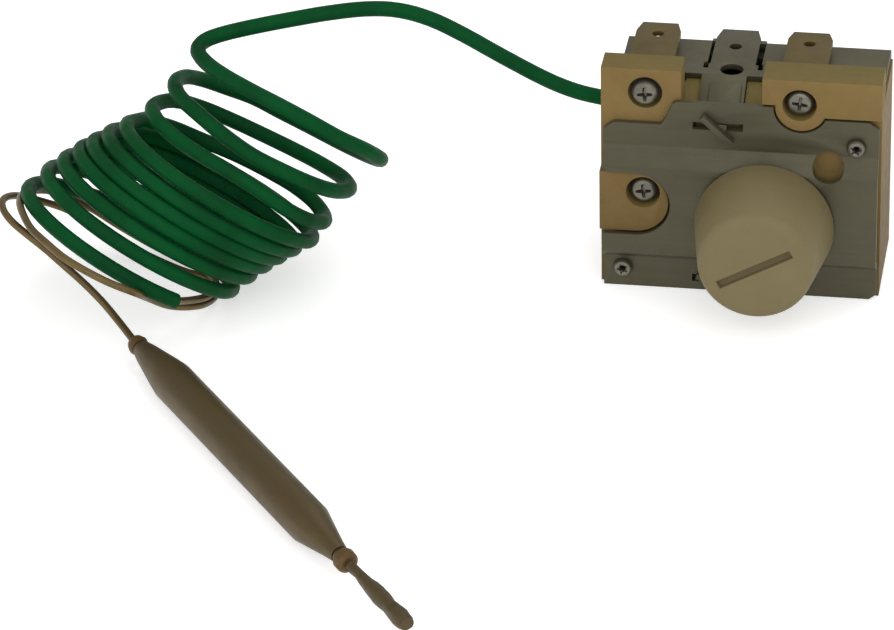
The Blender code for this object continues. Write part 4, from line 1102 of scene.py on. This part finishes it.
# Stage
@dataclass(frozen=True)
class Lamp:
    """A soft area lamp that points at the object.

    Attributes:
        name: Name of the lamp.
        azimuth: Direction it stands in, in degrees from the front towards the right.
        elevation: Height above the horizon in degrees.
        distance: Distance from the object in metres.
        size: Side of the lamp in metres.
        power: Power in watts.
    """

    name: str
    azimuth: float
    elevation: float
    distance: float
    size: float
    power: float

    def build(self, target: Vector) -> None:
        """Put the lamp in the scene.

        Args:
            target: Point it faces, in metres.
        """
        light = bpy.data.lights.new(self.name, "AREA")
        light.shape = "SQUARE"
        light.size = self.size
        light.energy = self.power
        lamp = bpy.data.objects.new(self.name, light)
        bpy.context.scene.collection.objects.link(lamp)
        around, up = math.radians(self.azimuth), math.radians(self.elevation)
        toward = Vector((math.sin(around) * math.cos(up), -math.cos(around) * math.cos(up), math.sin(up)))
        lamp.location = target + toward * self.distance
        lamp.rotation_mode = "QUATERNION"
        lamp.rotation_quaternion = toward.to_track_quat("Z", "Y")


@dataclass
class Stage:
    """Camera, lamps, table and background.

    Attributes:
        camera_place: Place of the camera on the drawing, in millimetres.
        yaw: Turn of the camera to the left, in degrees.
        pitch: Angle at which it looks down, in degrees.
        roll: Lean of the camera, in degrees.
        lens: Focal length in millimetres.
        target: Point that the lamps face, in metres.
        lamps: Lamps of the studio.
        table_half: Half of the table's width in metres.
        ambient: Strength of the world as light.
    """

    camera_place: Vector = field(default_factory=lambda: Vector((76.45, -740.11, 418.18)))
    yaw: float = 9.19
    pitch: float = 29.86
    roll: float = -1.12
    lens: float = 241.6
    target: Vector = field(default_factory=lambda: Vector((-0.03, -0.01, 0.012)))
    lamps: tuple[Lamp, ...] = (
        Lamp("key", 12.0, 32.0, 1.5, 1.5, 9.3),
        Lamp("side", 80.0, 20.0, 1.5, 1.2, 3.0),
        Lamp("fill", -50.0, 25.0, 1.5, 1.4, 5.5),
        Lamp("top", 150.0, 65.0, 1.4, 1.3, 4.5),
    )
    table_half: float = 4.0
    ambient: float = 0.5

    def camera(self) -> None:
        """Put the camera where the photograph was taken."""
        data = bpy.data.cameras.new("camera")
        data.lens = self.lens
        data.sensor_width = 36.0
        data.clip_start = 0.01
        data.clip_end = 50.0
        camera = bpy.data.objects.new("camera", data)
        bpy.context.scene.collection.objects.link(camera)
        turn = Matrix.Rotation(math.radians(self.yaw), 4, "Z")
        tilt = Matrix.Rotation(math.radians(90.0 - self.pitch), 4, "X")
        lean = Matrix.Rotation(math.radians(self.roll), 4, "Z")
        camera.matrix_world = Matrix.Translation(row_place(self.camera_place)) @ turn @ tilt @ lean
        bpy.context.scene.camera = camera

    def table(self) -> None:
        """Make the pale table top."""
        mesh = bpy.data.meshes.new("table_top")
        bm = bmesh.new()
        bmesh.ops.create_grid(bm, x_segments=8, y_segments=8, size=self.table_half)
        bm.to_mesh(mesh)
        bm.free()
        mesh.materials.append(FLOOR.material())
        table = bpy.data.objects.new("table_top", mesh)
        bpy.context.scene.collection.objects.link(table)

    def background(self) -> None:
        """Make the world white to the camera and gentle as light."""
        world = bpy.data.worlds.new("studio")
        bpy.context.scene.world = world
        world.use_nodes = True
        nodes, links = world.node_tree.nodes, world.node_tree.links
        path = nodes.new("ShaderNodeLightPath")
        seen = nodes.new("ShaderNodeMath")
        seen.operation = "MAXIMUM"
        links.new(path.outputs["Is Camera Ray"], seen.inputs[0])
        links.new(path.outputs["Is Transmission Ray"], seen.inputs[1])
        strength = nodes.new("ShaderNodeMapRange")
        strength.inputs["To Min"].default_value = self.ambient
        strength.inputs["To Max"].default_value = 1.0
        links.new(seen.outputs[0], strength.inputs["Value"])
        links.new(strength.outputs["Result"], nodes["Background"].inputs["Strength"])
        nodes["Background"].inputs["Color"].default_value = (1.0, 1.0, 1.0, 1.0)

    def build(self) -> None:
        """Build the stage."""
        bpy.context.scene.view_settings.view_transform = "Standard"
        self.camera()
        self.table()
        self.background()
        for lamp in self.lamps:
            lamp.build(self.target)


def main() -> None:
    """Build the stage and every sub-assembly."""
    logging.basicConfig(level=logging.INFO, format="%(name)s: %(message)s")
    Stage().build()
    for assembly in (Housing(), Terminals(), Control(), Switch(), Capillary()):
        assembly.build()


if __name__ == "__main__":
    main()
